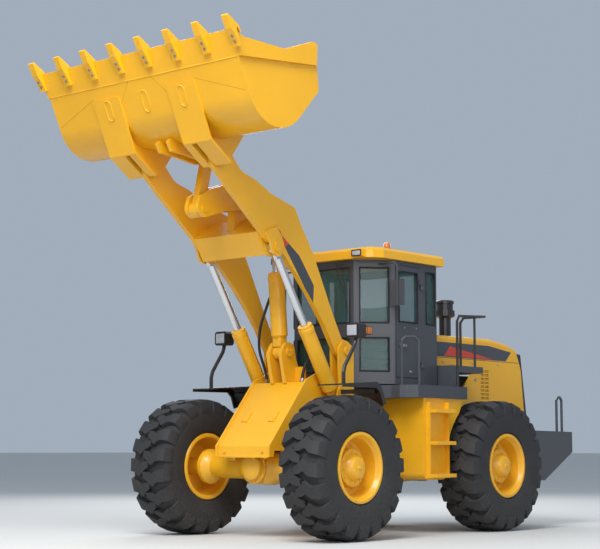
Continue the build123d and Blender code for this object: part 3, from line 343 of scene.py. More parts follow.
# ---------------------------------------------------------------- mesh tools
def add_piece(name, bm, material, body, sharp=0.6):
    mesh = bpy.data.meshes.new(name)
    bm.to_mesh(mesh)
    bm.free()
    for face in mesh.polygons:
        face.use_smooth = True
    mesh.set_sharp_from_angle(angle=sharp)
    piece = bpy.data.objects.new(name, mesh)
    mesh.materials.append(material)
    bpy.context.scene.collection.objects.link(piece)
    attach(piece, body)
    return piece


def join(bm, shape, place=None):
    """Adds a finished shape to a piece's mesh, placed, and frees it."""
    if place:
        bmesh.ops.transform(shape, matrix=place, verts=shape.verts)
    mesh = bpy.data.meshes.new("shape")
    shape.to_mesh(mesh)
    shape.free()
    bm.from_mesh(mesh)
    bpy.data.meshes.remove(mesh)


def turned(bm, rows, place, steps=64):
    """Turns rows of (height, radius) round the placement's Z axis; rows that end where they start make a ring."""
    shape = bmesh.new()
    closed = rows[0] == rows[-1]
    rings = []
    for height, radius in (rows[:-1] if closed else rows):
        angles = [2 * pi * i / steps for i in range(steps if radius else 1)]
        ring = [shape.verts.new((radius * cos(angle), radius * sin(angle), height)) for angle in angles]
        rings.append(ring if radius else ring * steps)
    for one, two in zip(rings, rings[1:] + (rings[:1] if closed else [])):
        for i in range(steps):
            corners = dict.fromkeys((one[i - 1], one[i], two[i], two[i - 1]))
            shape.faces.new(list(corners))
    bmesh.ops.recalc_face_normals(shape, faces=shape.faces)
    join(bm, shape, place)


def block(bm, low, high, bevel=0.0, place=None):
    """Box between any two opposite corners, with bevelled edges."""
    shape = bmesh.new()
    spans = [sorted(pair) for pair in zip(low, high)]
    low, high = Vector([span[0] for span in spans]), Vector([span[1] for span in spans])
    matrix = Matrix.Translation((low + high) / 2) @ Matrix.Diagonal((*(high - low), 1.0))
    bmesh.ops.create_cube(shape, size=1.0, matrix=matrix)
    if bevel:
        bmesh.ops.bevel(shape, geom=shape.edges[:], offset=bevel, segments=3, profile=0.5, affect="EDGES",
                        material=-1)
    join(bm, shape, place)


def hex_bolt(bm, origin, direction, radius):
    """Hexagon head on a washer."""
    place = aim(origin, direction)
    for sides, wide, low, high in ((20, 1.45, 0.0, 0.22), (6, 1.0, 0.22, 0.95)):
        middle = Matrix.Translation((0, 0, (low + high) * radius / 2))
        bmesh.ops.create_cone(bm, cap_ends=True, segments=sides, radius1=radius * wide, radius2=radius * wide * 0.94,
                              depth=(high - low) * radius, matrix=place @ middle)


def bolt_ring(bm, place, count, circle, radius, start=0.0):
    for i in range(count):
        angle = start + 2 * pi * i / count
        spot_on = place @ Vector((circle * cos(angle), circle * sin(angle), 0))
        hex_bolt(bm, spot_on, place.to_3x3() @ Vector((0, 0, 1)), radius)


def wire(name, runs, radius, material, body, smooth=False):
    """Round bar along each run of points, as one mesh."""
    curve = bpy.data.curves.new(name, "CURVE")
    curve.dimensions = "3D"
    curve.bevel_depth = radius
    curve.bevel_resolution = 3
    curve.use_fill_caps = True
    for points in runs:
        spline = curve.splines.new("NURBS" if smooth else "POLY")
        spline.points.add(len(points) - 1)
        for point, place in zip(spline.points, points):
            point.co = (*place, 1.0)
        if smooth:
            spline.order_u = 3
            spline.use_endpoint_u = True
            spline.resolution_u = 8
    piece = bpy.data.objects.new(name, curve)
    curve.materials.append(material)
    bpy.context.scene.collection.objects.link(piece)
    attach(piece, body)
    return piece


def both(y_values):
    return [sign * y for y in y_values for sign in (1, -1)]


# ---------------------------------------------------------------- sizes and colours that a user would change
class LoaderLooks(bpy.types.PropertyGroup):
    """Sizes and colours of the loader's finish"""
    yellow: bpy.props.FloatVectorProperty(name="Machine yellow", description="Enamel on the frames, boom and hood",
                                          size=3, subtype="COLOR", min=0.0, max=1.0, default=YELLOW)
    charcoal: bpy.props.FloatVectorProperty(name="Charcoal", description="Enamel on the cab, deck and weight",
                                            size=3, subtype="COLOR", min=0.0, max=1.0, default=CHARCOAL)
    lugs: bpy.props.IntProperty(name="Lugs", description="Lugs on each half of a tyre's tread", default=20, min=12,
                                max=30)
    lug_width: bpy.props.FloatProperty(name="Lug width", description="Width of a lug along the tread", default=0.140,
                                       unit="LENGTH")
    hose: bpy.props.FloatProperty(name="Hose", description="Outside diameter of the hydraulic hoses", default=0.034,
                                  unit="LENGTH")
    lens: bpy.props.FloatProperty(name="Lens", description="Focal length of the camera", default=92.23)
    sky: bpy.props.FloatProperty(name="Sky", description="Strength of the soft light all round", default=0.5)


def looks():
    return bpy.context.scene.loader_looks


MATERIALS = {}


def make_materials():
    yellow, charcoal = tuple(looks().yellow), tuple(looks().charcoal)
    MATERIALS.update({
        "yellow": paint("yellow_enamel", yellow),
        "arm": paint("arm_enamel", yellow, mask=arm_stripe),
        "hood": paint("hood_enamel", yellow, mask=hood_band),
        "bucket": paint("bucket_enamel", yellow, mask=shell_seams),
        "grey": paint("charcoal_enamel", charcoal, rough=0.42),
        "black": paint("black_enamel", BLACK, rough=0.45),
        "deck": tread_plate("deck_plate", charcoal),
        "rubber": rubber("tyre_rubber"),
        "seal": plain("window_rubber", (0.010, 0.010, 0.011), 0.6),
        "hose": plain("hose_rubber", (0.010, 0.010, 0.011), 0.42),
        "chrome": plain("rod_chrome", (0.72, 0.73, 0.75), 0.10, metallic=1.0),
        "steel": plain("bright_steel", (0.45, 0.45, 0.46), 0.3, metallic=1.0),
        "glass": plain("tinted_glass", (0.06, 0.15, 0.14), 0.03, alpha=0.34, coat=0.3, grain=3.0),
        "mirror": plain("mirror_glass", (0.8, 0.82, 0.85), 0.03, metallic=1.0, grain=3.0),
        "clear": lens("clear_lens", (0.62, 0.64, 0.68)),
        "amber": lens("amber_lens", (0.75, 0.20, 0.01)),
        "red_lens": lens("red_lens", (0.55, 0.01, 0.01)),
        "cloth": cloth("seat_cloth", (0.018, 0.019, 0.022)),
        "plastic": plain("cab_plastic", (0.020, 0.020, 0.022), 0.5),
    })


def dress(names, key):
    for name in names:
        slots = NODES[name].data.materials
        slots.clear()
        slots.append(MATERIALS[key])


CAMERA_PLACE = (14.578, 11.963, 1.006)
CAMERA_YAW, CAMERA_PITCH = radians(40.84), radians(6.47)
FLOOR_HALF = 300.0
LIGHTS = (("key", (9.0, 4.0, 12.0), 7.0, 2100.0), ("fill", (12.0, 14.0, 6.0), 9.0, 700.0),
          ("back", (-9.0, -8.0, 9.0), 8.0, 900.0))
LIGHTS_AIM = Vector((0, 0, 1.8))


def stage_lights():
    for name, place, size, energy in LIGHTS:
        data = bpy.data.lights.new(name, "AREA")
        data.energy = energy
        data.size = size
        lamp = bpy.data.objects.new(name, data)
        lamp.location = place
        lamp.rotation_euler = (LIGHTS_AIM - Vector(place)).to_track_quat("-Z", "Y").to_euler()
        bpy.context.scene.collection.objects.link(lamp)


class LOADER_OT_stage(bpy.types.Operator):
    """Camera, soft lights and a pale floor"""
    bl_idname = "loader.stage"
    bl_label = "Stage"

    def execute(self, context):
        data = bpy.data.cameras.new("camera")
        data.sensor_width = 36.0
        data.lens = looks().lens
        camera = bpy.data.objects.new("camera", data)
        camera.location = CAMERA_PLACE
        flat = cos(CAMERA_PITCH)
        look = Vector((-cos(CAMERA_YAW) * flat, -sin(CAMERA_YAW) * flat, sin(CAMERA_PITCH)))
        camera.rotation_mode = "QUATERNION"
        camera.rotation_quaternion = look.to_track_quat("-Z", "Y")
        context.scene.collection.objects.link(camera)
        context.scene.camera = camera
        stage_lights()
        context.scene.view_settings.view_transform = "Standard"
        world = bpy.data.worlds.new("sky")
        world.use_nodes = True
        world.node_tree.nodes["Background"].inputs["Color"].default_value = (0.72, 0.84, 1.0, 1.0)
        world.node_tree.nodes["Background"].inputs["Strength"].default_value = looks().sky
        context.scene.world = world
        ground = bmesh.new()
        bmesh.ops.create_grid(ground, x_segments=1, y_segments=1, size=FLOOR_HALF)
        mesh = bpy.data.meshes.new("floor")
        ground.to_mesh(mesh)
        ground.free()
        floor = bpy.data.objects.new("floor", mesh)
        floor.data.materials.append(Tree("floor").finish(Base_Color=(0.62, 0.62, 0.60), Roughness=0.9))
        context.scene.collection.objects.link(floor)
        return {"FINISHED"}


class LOADER_OT_hoses(bpy.types.Operator):
    """Hydraulic hoses between the front frame and the cylinders"""
    bl_idname = "loader.hoses"
    bl_label = "Hoses"

    def execute(self, context):
        wide = looks().hose
        make_materials()
        routes = (
            ("hose_tilt_left", [spot(-330, -262, 1790), spot(-325, -268, 1870), spot(-280, -280, 2000),
                                spot(-190, -275, 2180), spot(-150, -220, 2420), spot(-180, -150, 2640),
                                spot(-205, -108, 2780)]),
            ("hose_tilt_right", [spot(-350, 262, 1790), spot(-352, 268, 1860), spot(-390, 285, 1990),
                                 spot(-470, 300, 2070), spot(-560, 300, 2070), spot(-640, 320, 2020)]),
        )
        for name, points in routes:
            hose = wire(name, [points], wide / 2, MATERIALS["hose"], "front_body", smooth=True)
        bm = bmesh.new()
        for name, points in routes:
            place = aim(points[0] - Vector((0, 0, 0.03)), points[1] - points[0])
            turned(bm, [(0.0, 0.0), (0.0, 0.030), (0.026, 0.030), (0.028, 0.023), (0.065, 0.021), (0.067, 0.0)],
                   place, 6)
        add_piece("hose_fittings", bm, MATERIALS["steel"], "front_body")
        return {"FINISHED"}


class LOADER_OT_finishes(bpy.types.Operator):
    """Paint, rubber, glass and metal on the solid parts"""
    bl_idname = "loader.finishes"
    bl_label = "Finishes"

    def execute(self, context):
        groups = {"yellow_paint": "yellow", "grey_paint": "grey", "black_paint": "black", "cast_iron": "grey",
                  "rod_chrome": "chrome", "glass": "glass", "tyre": "rubber", "seat_fabric": "cloth"}
        for part in frame["record"]["subparts"]:
            dress([part["node"]], groups[part["material_slot"]])
        dress(["boom_arm_left", "boom_arm_right"], "arm")
        dress(["hood"], "hood")
        dress(["bucket_shell"], "bucket")
        dress(["platform"], "deck")
        return {"FINISHED"}


TYRE_ROWS = [(-0.236, 0.366), (-0.240, 0.398), (-0.262, 0.412), (-0.272, 0.432), (-0.276, 0.448), (-0.287, 0.500),
             (-0.2935, 0.560), (-0.2925, 0.575), (-0.2935, 0.590), (-0.290, 0.640), (-0.276, 0.690), (-0.250, 0.722),
             (-0.200, 0.738), (-0.100, 0.744), (0.0, 0.745)]
LUG_STATIONS = [(-0.045, 0.030, 0.50, 0.792), (0.030, 0.004, 0.80, 0.797), (0.095, -0.042, 1.0, 0.798),
                (0.165, 0.010, 1.0, 0.797), (0.225, 0.020, 1.02, 0.788), (0.268, 0.022, 1.05, 0.765),
                (0.2945, 0.022, 1.08, 0.700), (0.2955, 0.022, 1.08, 0.640)]


def lug(bm, angle, side, width):
    """One bent lug from the middle of the tread over the shoulder, closed at both ends; side is 1 or -1."""
    shape = bmesh.new()
    sections = []
    for index, (y, shift, wide, top) in enumerate(LUG_STATIONS):
        low = min(top - 0.03, 0.725) if index < 6 else top - 0.05
        corners = []
        for edge, radius in ((-1, low), (-1, top), (1, top), (1, low)):
            lean = 1.0 if radius == top else 1.18
            turn = angle + (shift + edge * lean * wide * width / 2) / top
            depth = y if radius == top or index < 6 else y - 0.02
            corners.append((radius * cos(turn), radius * sin(turn), side * depth))
        sections.append([shape.verts.new(corner) for corner in corners])
    shape.faces.new(sections[0])
    for one, two in zip(sections, sections[1:]):
        for i in range(4):
            shape.faces.new((one[i - 1], one[i], two[i], two[i - 1]))
    shape.faces.new(sections[-1])
    bmesh.ops.recalc_face_normals(shape, faces=shape.faces)
    join(bm, shape)


class LOADER_OT_tyres(bpy.types.Operator):
    """Loader tyres with bent lugs and ribbed side walls"""
    bl_idname = "loader.tyres"
    bl_label = "Tyres"

    def execute(self, context):
        count, width = looks().lugs, looks().lug_width
        for name, x, sign in WHEELS:
            bm = bmesh.new()
            rows = TYRE_ROWS + [(-y, r) for y, r in reversed(TYRE_ROWS[:-1])]
            turned(bm, rows + [rows[0]], Matrix(), 96)
            for i in range(count):
                lug(bm, 2 * pi * i / count, 1, width)
                lug(bm, 2 * pi * (i + 0.5) / count, -1, width)
            place = aim((x, sign * TRACK / 2, AXLE_Z), (0, sign, 0))
            bmesh.ops.transform(bm, matrix=place, verts=bm.verts)
            tyre = add_piece(f"rubber_{name}", bm, MATERIALS["rubber"], f"wheel_{name}", 0.5)
            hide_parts(f"tyre_{name}")
        return {"FINISHED"}


RIM_ROWS = [(0.236, 0.0), (0.236, 0.100), (0.230, 0.110), (0.156, 0.146), (0.148, 0.152), (0.148, 0.200),
            (0.142, 0.208), (0.050, 0.214), (0.044, 0.218), (0.044, 0.292), (0.050, 0.302), (0.120, 0.318),
            (0.200, 0.324), (0.214, 0.336), (0.250, 0.346), (0.262, 0.358), (0.264, 0.378), (0.258, 0.390),
            (0.248, 0.393), (0.240, 0.388), (0.236, 0.362), (-0.236, 0.362), (-0.240, 0.388), (-0.250, 0.393),
            (-0.262, 0.384), (-0.262, 0.352), (-0.250, 0.340), (0.018, 0.302), (0.022, 0.290), (0.022, 0.097),
            (0.215, 0.097), (0.215, 0.0)]


class LOADER_OT_rims(bpy.types.Operator):
    """Dished rims with their hubs and wheel nuts"""
    bl_idname = "loader.rims"
    bl_label = "Rims"

    def execute(self, context):
        for name, x, sign in WHEELS:
            bm = bmesh.new()
            turned(bm, RIM_ROWS, Matrix(), 96)
            bolt_ring(bm, Matrix.Translation((0, 0, 0.044)), 16, 0.253, 0.014)
            bolt_ring(bm, Matrix.Translation((0, 0, 0.148)), 12, 0.177, 0.010, 0.13)
            hex_bolt(bm, (0.0, 0.0, 0.236), (0, 0, 1), 0.022)
            place = aim((x, sign * TRACK / 2, AXLE_Z), (0, sign, 0))
            bmesh.ops.transform(bm, matrix=place, verts=bm.verts)
            rim = add_piece(f"wheel_disc_{name}", bm, MATERIALS["yellow"], f"wheel_{name}")
            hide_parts(f"rim_{name}")
        return {"FINISHED"}


AXLE_ROWS = [(-1.35, 0.0), (-1.35, 0.094), (-0.90, 0.094), (-0.896, 0.196), (-0.888, 0.205), (-0.842, 0.205),
             (-0.834, 0.190), (-0.790, 0.165), (-0.760, 0.132), (-0.300, 0.140), (-0.220, 0.165), (-0.150, 0.205)]


class LOADER_OT_axles(bpy.types.Operator):
    """Drive axles with brake housings, cover and bolts"""
    bl_idname = "loader.axles"
    bl_label = "Axles"

    def execute(self, context):
        for name, x, body, nose in (("front", AXLE_X, "front_body", 1), ("rear", REAR_X, "rear_body", -1)):
            bm = bmesh.new()
            rows = AXLE_ROWS + [(-y, r) for y, r in reversed(AXLE_ROWS)]
            turned(bm, rows, aim((x, 0, AXLE_Z), (0, 1, 0)), 64)
            cover = aim((x, 0, AXLE_Z), (nose, 0, 0))
            turned(bm, [(0.10, 0.0), (0.10, 0.192), (0.195, 0.192), (0.200, 0.186), (0.200, 0.160), (0.245, 0.145),
                        (0.262, 0.110), (0.268, 0.0)], cover, 64)
            bolt_ring(bm, cover @ Matrix.Translation((0, 0, 0.200)), 14, 0.174, 0.009)
            for sign in (1, -1):
                pad = sign * 0.405
                block(bm, (x - 0.12, pad - 0.06, AXLE_Z), (x + 0.12, pad + 0.06, 0.985), 0.012)
                brake = aim((x, sign * 0.842, AXLE_Z), (0, -sign, 0))
                bolt_ring(bm, brake, 16, 0.190, 0.009)
                for dx in (-0.085, 0.085):
                    hex_bolt(bm, (x + dx, pad + sign * 0.06, 0.94), (0, sign, 0), 0.014)
            axle = add_piece(f"drive_axle_{name}", bm, MATERIALS["yellow"], body)
            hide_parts(f"{name}_axle")
        return {"FINISHED"}


def smooth_barrel(name, body, base, tip, y, sizes, ports):
    """Cylinder barrel with its gland, base cap, eye and pipe."""
    radius, neck, top, bore, eye_half, eye_bore = sizes
    base = Vector((base.x, y, base.z))
    tip = Vector((tip.x, y, tip.z))
    along = (tip - base).normalized()
    place = aim(base, along)
    bm = bmesh.new()
    turned(bm, [(neck - 0.02, 0.0), (neck - 0.02, radius * 0.72), (neck, radius * 0.92), (neck + 0.010, radius),
                (top - 0.095, radius), (top - 0.090, radius + 0.004), (top - 0.045, radius + 0.004),
                (top - 0.040, radius - 0.002), (top - 0.006, radius - 0.002), (top, radius - 0.010),
                (top, bore), (neck + 0.022, bore), (neck + 0.022, 0.0)], place, 64)
    turned(bm, [(-eye_half, eye_bore), (-eye_half, 0.071), (-eye_half + 0.004, 0.0745), (eye_half - 0.004, 0.0745),
                (eye_half, 0.071), (eye_half, eye_bore), (-eye_half, eye_bore)], aim(base, (0, 1, 0)), 48)
    half = eye_half - 0.003
    block(bm, (-0.060, -half, 0.068), (0.060, half, neck), 0.006, Matrix.Translation(base) @ tilt_to(along))
    for height in (neck + 0.05, top - 0.13):
        lug_at = place @ Matrix.Translation((0, 0, height))
        side = aim(lug_at @ Vector((0, 0, 0)), ports)
        turned(bm, [(radius - 0.01, 0.0), (radius - 0.01, 0.024), (radius + 0.008, 0.024), (radius + 0.010, 0.0)],
               side, 24)
    piece = add_piece(name, bm, MATERIALS["yellow"], body)
    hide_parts(body)
    out = Vector(ports) * (radius + 0.005)
    wire(f"pipe_{body}", [[base + along * (neck + 0.05) + out, base + along * (top - 0.13) + out]], 0.008,
         MATERIALS["yellow"], body)


def tilt_to(along):
    """Turn about Y that takes Z to a direction in the side plane."""
    return Matrix.Rotation(atan2(along.x, along.z), 4, "Y")


class LOADER_OT_cylinders(bpy.types.Operator):
    """Barrels of the lift and tilt cylinders"""
    bl_idname = "loader.cylinders"
    bl_label = "Cylinders"

    def execute(self, context):
        for side, sign in (("left", 1), ("right", -1)):
            foot = Vector(JOINTS[f"lift_barrel_{side}_turn"]["pos_m"])
            smooth_barrel(f"lift_tube_{side}", f"lift_barrel_{side}", foot, LIFT_EYE, sign * ARM_MID,
                          (0.088, 0.205, 1.058, 0.0452, 0.0325, 0.0402), (0, -sign, 0))
        smooth_barrel("tilt_tube", "tilt_barrel", TILT_BASE, TILT_EYE, 0.0,
                      (0.098, 0.190, 0.940, 0.0422, 0.064, 0.0452), (0, -1, 0))
        return {"FINISHED"}


def pin_cap(bm, centre, y, sign, radius, bolts=3):
    """Round cap over a pin's end with a few bolts."""
    place = aim((centre.x, sign * y, centre.z), (0, sign, 0))
    turned(bm, [(0.0, 0.0), (0.0, radius), (0.008, radius), (0.011, radius - 0.004), (0.011, 0.0)], place, 40)
    bolt_ring(bm, place @ Matrix.Translation((0, 0, 0.011)), bolts, radius * 0.62, 0.0095, 0.5)


class LOADER_OT_pins(bpy.types.Operator):
    """Caps and bolts over the pins' ends"""
    bl_idname = "loader.pins"
    bl_label = "Pin caps"

    def execute(self, context):
        lift_foot = Vector(JOINTS["lift_barrel_left_turn"]["pos_m"])
        groups = (
            ("tower_caps", "front_body", ((BOOM_PIN, PLATE_OUT + 0.021, 0.060),
                                          (lift_foot, PLATE_OUT + 0.015, 0.052))),
            ("arm_caps", "boom", ((LIFT_EYE, ARM_OUT + 0.032, 0.058),)),
            ("crank_caps", "boom", ((CRANK_PIN, 0.119, 0.060),)),
            ("bucket_caps", "bucket", ((BUCKET_PIN, PLATE_OUT + 0.008, 0.056),)),
            ("tilt_caps", "front_body", ((TILT_BASE, 0.140, 0.056),)),
        )
        for name, body, places in groups:
            bm = bmesh.new()
            for centre, y, radius in places:
                for sign in (1, -1):
                    pin_cap(bm, centre, y, sign, radius)
            add_piece(name, bm, MATERIALS["yellow"], body)
        return {"FINISHED"}


def stadium(y, low, high, half, proud, count=8):
    """Long rounded ring on the bucket's floor, as points."""
    points = []
    for end, start in ((high - half, 0.0), (low + half, pi)):
        for i in range(count + 1):
            angle = start + pi * i / count
            points.append(floor_spot(end + half * sin(angle), y + half * cos(angle), proud))
    return points + [points[0]]


class LOADER_OT_bucket(bpy.types.Operator):
    """Bolts of the teeth, pressed pads and weld beads on the bucket"""
    bl_idname = "loader.bucket"
    bl_label = "Bucket details"

    def execute(self, context):
        bm = bmesh.new()
        pitch = 3.032 / 7
        for i in range(8):
            y = (i - 3.5) * pitch
            for ahead, proud in ((-0.075, 0.058), (-0.135, 0.038)):
                hex_bolt(bm, floor_spot(ahead, y, proud), UNDER, 0.011)
        add_piece("tooth_bolts", bm, MATERIALS["steel"], "bucket")
        rings = [stadium(0.0, -0.66, -0.42, 0.048, 0.002)]
        rings += [stadium(y, -0.68, -0.45, 0.045, 0.022) for y in both([0.572])]
        wire("pressed_pads", rings, 0.007, MATERIALS["bucket"], "bucket")
        beads = [[floor_spot(-0.285, -1.46, 0.0), floor_spot(-0.285, 1.46, 0.0)]]
        for y in both([0.375, 0.790]):
            beads.append([floor_spot(-0.425, y, 0.003), floor_spot(-0.78, y, 0.003)])
        wire("bucket_beads", beads, 0.007, MATERIALS["bucket"], "bucket")
        return {"FINISHED"}


class LOADER_OT_front(bpy.types.Operator):
    """Plates, bolts and weld beads on the front frame"""
    bl_idname = "loader.front"
    bl_label = "Front frame details"

    def execute(self, context):
        foot, top = spot(360, 0, 1038), spot(-258, 0, 1770)
        up = (top - foot).normalized()
        out = Vector((up.z, 0, -up.x))
        bm = bmesh.new()
        slant = Matrix(((0, up.x, out.x, foot.x), (1, 0, 0, 0), (0, up.z, out.z, foot.z), (0, 0, 0, 1)))
        for y in both([0.21]):
            block(bm, (y - 0.045, 0.36, -0.004), (y + 0.045, 0.50, 0.013), 0.004, slant)
            for dy in (-0.03, 0.03):
                hex_bolt(bm, slant @ Vector((y + dy, 0.38, 0.013)), out, 0.006)
        hex_bolt(bm, spot(360, 290, 975), (1, 0, 0), 0.017)
        hex_bolt(bm, spot(360, -290, 975), (1, 0, 0), 0.017)
        block(bm, spot(330, -FRAME_HALF * 1000, 905), spot(368, FRAME_HALF * 1000, 935), 0.006)
        for y in both([0.15, 0.33]):
            hex_bolt(bm, spot(352, y * 1000, 905), (0, 0, -1), 0.014)
        add_piece("frame_plates", bm, MATERIALS["yellow"], "front_body")
        weld = FRAME_HALF * 1000
        beads = [[spot(358, y, 1045), spot(-258, y, 1774)] for y in both([weld])]
        beads += [[spot(-580, y, 1768), spot(-270, y, 1768)] for y in both([weld])]
        wire("frame_beads", beads, 0.007, MATERIALS["yellow"], "front_body")
        return {"FINISHED"}


def lamp_face(bm_lens, bm_rim, centre, wide, high, normal=(1, 0, 0)):
    """Bevelled lens in a thin rim."""
    place = aim(centre, normal)
    across = place.inverted().to_3x3() @ Vector((0, 1, 0))
    flat = abs(across.x) > 0.5
    w, h = (wide, high) if flat else (high, wide)
    block(bm_lens, (-w / 2, -h / 2, -0.004), (w / 2, h / 2, 0.006), 0.004, place)
    t = 0.012
    for low, top in (((-w / 2 - t, -h / 2 - t), (w / 2 + t, -h / 2)), ((-w / 2 - t, h / 2), (w / 2 + t, h / 2 + t)),
                     ((-w / 2 - t, -h / 2), (-w / 2, h / 2)), ((w / 2, -h / 2), (w / 2 + t, h / 2))):
        block(bm_rim, (*low, -0.004), (*top, 0.010), 0.003, place)


class LOADER_OT_lamps(bpy.types.Operator):
    """Lamp lenses, turn signals, beacon and mirrors"""
    bl_idname = "loader.lamps"
    bl_label = "Lamps and mirrors"

    def execute(self, context):
        clear, rims = bmesh.new(), bmesh.new()
        for y in both([1.033]):
            lamp_face(clear, rims, (AXLE_X - 0.330 + 0.002, y, 2.346), 0.142, 0.120)
        add_piece("head_lamp_glass", clear, MATERIALS["clear"], "front_body")
        add_piece("head_lamp_rims", rims, MATERIALS["plastic"], "front_body")
        amber = bmesh.new()
        for sign in (1, -1):
            block(amber, spot(-556, sign * 1060, 2306), spot(-474, sign * 1146, 2384), 0.006)
            block(amber, spot(-480, sign * 1062, 2308), spot(-466, sign * 1136, 2382), 0.004)
        add_piece("turn_signals", amber, MATERIALS["amber"], "front_body")
        clear, rims = bmesh.new(), bmesh.new()
        for y in both([0.640]):
            lamp_face(clear, rims, (AXLE_X - 0.905 + 0.002, y, 3.317), 0.120, 0.056)
        add_piece("roof_lamp_glass", clear, MATERIALS["clear"], "rear_body")
        add_piece("roof_lamp_rims", rims, MATERIALS["plastic"], "rear_body")
        tail = bmesh.new()
        rims = bmesh.new()
        for y in both([0.70]):
            lamp_face(tail, rims, (AXLE_X - 5.025 - 0.002, y, 1.12), 0.16, 0.08, (-1, 0, 0))
        add_piece("tail_lamp_glass", tail, MATERIALS["red_lens"], "rear_body")
        add_piece("tail_lamp_rims", rims, MATERIALS["plastic"], "rear_body")
        bm = bmesh.new()
        turned(bm, [(0.0, 0.0), (0.0, 0.052), (0.020, 0.052), (0.026, 0.046), (0.075, 0.040), (0.090, 0.028),
                    (0.096, 0.0)], Matrix.Translation(spot(-1680, 500, 3438)), 40)
        add_piece("beacon_dome", bm, MATERIALS["amber"], "rear_body")
        bm = bmesh.new()
        for sign in (1, -1):
            x = CAB_SLANT + 0.150 - 0.045 - 0.001
            block(bm, (x - 0.004, sign * 0.853, 2.712), (x, sign * 1.017, 2.998), 0.0019)
        add_piece("mirror_faces", bm, MATERIALS["mirror"], "rear_body")
        return {"FINISHED"}


def loop_on(y, x_low, x_high, z_low, z_high):
    return [Vector((x, y, z)) for x, z in ((x_low, z_low), (x_high, z_low), (x_high, z_high), (x_low, z_high),
                                           (x_low, z_low))]


class LOADER_OT_cab(bpy.types.Operator):
    """Window seals, wiper and latches of the cab"""
    bl_idname = "loader.cab"
    bl_label = "Cab trim"

    def execute(self, context):
        seals = []
        for z_low, z_high in WINDOW_ROWS:
            corners = ((-0.41, z_low), (0.41, z_low), (0.41, z_high), (-0.41, z_high), (-0.41, z_low))
            seals.append([Vector((CAB_FRONT + 0.001, y, z)) for y, z in corners])
        for y in both([0.801]):
            seals.append(loop_on(y, CAB_REAR + 0.04, AXLE_X - 2.070, 2.53, 3.17))
        seals.append(loop_on(-0.801, AXLE_X - 1.880, AXLE_X - 1.515, 2.53, 3.17))
        wire("window_seals", seals, 0.012, MATERIALS["seal"], "rear_body")
        door = [loop_on(0.807, AXLE_X - 1.884, AXLE_X - 1.511, 2.53, 3.14)]
        wire("door_seal", door, 0.011, MATERIALS["seal"], "door_left")
        corner = []
        wall = Vector((CAB_FRONT - CAB_SLANT, SCREEN_HALF - CAB_HALF, 0)).normalized()
        for sign in (1, -1):
            start = Vector((CAB_SLANT, CAB_HALF, 0)) + wall * 0.075
            end = Vector((CAB_FRONT, SCREEN_HALF, 0)) - wall * 0.075
            for z_low, z_high in WINDOW_ROWS:
                points = [(start, z_low), (end, z_low), (end, z_high), (start, z_high), (start, z_low)]
                corner.append([Vector((p.x, sign * p.y, z)) for p, z in points])
        wire("corner_seals", corner, 0.012, MATERIALS["seal"], "rear_body")
        wiper = [[Vector((CAB_FRONT + 0.030, 0.222, 3.235)), Vector((CAB_FRONT + 0.034, 0.300, 3.04)),
                  Vector((CAB_FRONT + 0.024, 0.372, 2.86))],
                 [Vector((CAB_FRONT + 0.020, 0.340, 3.06)), Vector((CAB_FRONT + 0.018, 0.392, 2.62))]]
        wire("wiper", wiper, 0.007, MATERIALS["plastic"], "rear_body")
        bm = bmesh.new()
        block(bm, (AXLE_X - 1.595, 0.806, 2.225), (AXLE_X - 1.50, 0.836, 2.262), 0.006)
        turned(bm, [(0.0, 0.0), (0.0, 0.016), (0.010, 0.016), (0.012, 0.0)],
               aim((AXLE_X - 1.640, 0.806, 2.244), (0, 1, 0)), 24)
        add_piece("door_latch", bm, MATERIALS["steel"], "door_left")
        bm = bmesh.new()
        hex_bolt(bm, (AXLE_X - 1.74, 0.806, 1.93), (0, 1, 0), 0.014)
        for x in (-1.62, -1.86):
            hex_bolt(bm, (AXLE_X + x, 0.806, 2.46), (0, 1, 0), 0.009)
        add_piece("door_bolts", bm, MATERIALS["steel"], "door_left")
        return {"FINISHED"}


def dip(u, centre, half=0.09):
    """Depth of a sewn channel at u, from 0 to 1."""
    return max(0.0, 1.0 - abs(u - centre) / half) ** 2


def cushion(name, low, high, place, seams):
    """Crowned cushion: a subdivided block whose faces swell and whose sides pull in, with sewn channels."""
    bm = bmesh.new()
    low, high = Vector(low), Vector(high)
    size = high - low
    middle = (low + high) / 2
    bmesh.ops.create_cube(bm, size=1.0)
    bmesh.ops.subdivide_edges(bm, edges=bm.edges, cuts=15, use_grid_fill=True)
    for vert in bm.verts:
        u, v, w = vert.co * 2
        swell = (1 - abs(u) ** 3) * (1 - abs(v) ** 3)
        channel = sum(dip(u, centre) for centre in seams)
        thick = 0.72 + 0.28 * swell - 0.16 * channel * (1 - abs(v) ** 6)
        waist = 1.0 - 0.05 * (1 - abs(u) ** 2) * (abs(v) > 0.99) - 0.05 * (1 - abs(v) ** 2) * (abs(u) > 0.99)
        vert.co = Vector((u / 2 * size.x * waist, v / 2 * size.y * waist, w / 2 * size.z * thick)) + middle
    bmesh.ops.transform(bm, matrix=place, verts=bm.verts)
    piece = add_piece(name, bm, MATERIALS["cloth"], "rear_body", 3.0)
    smooth = piece.modifiers.new("soften", "SUBSURF")
    smooth.levels = smooth.render_levels = 1
    return piece


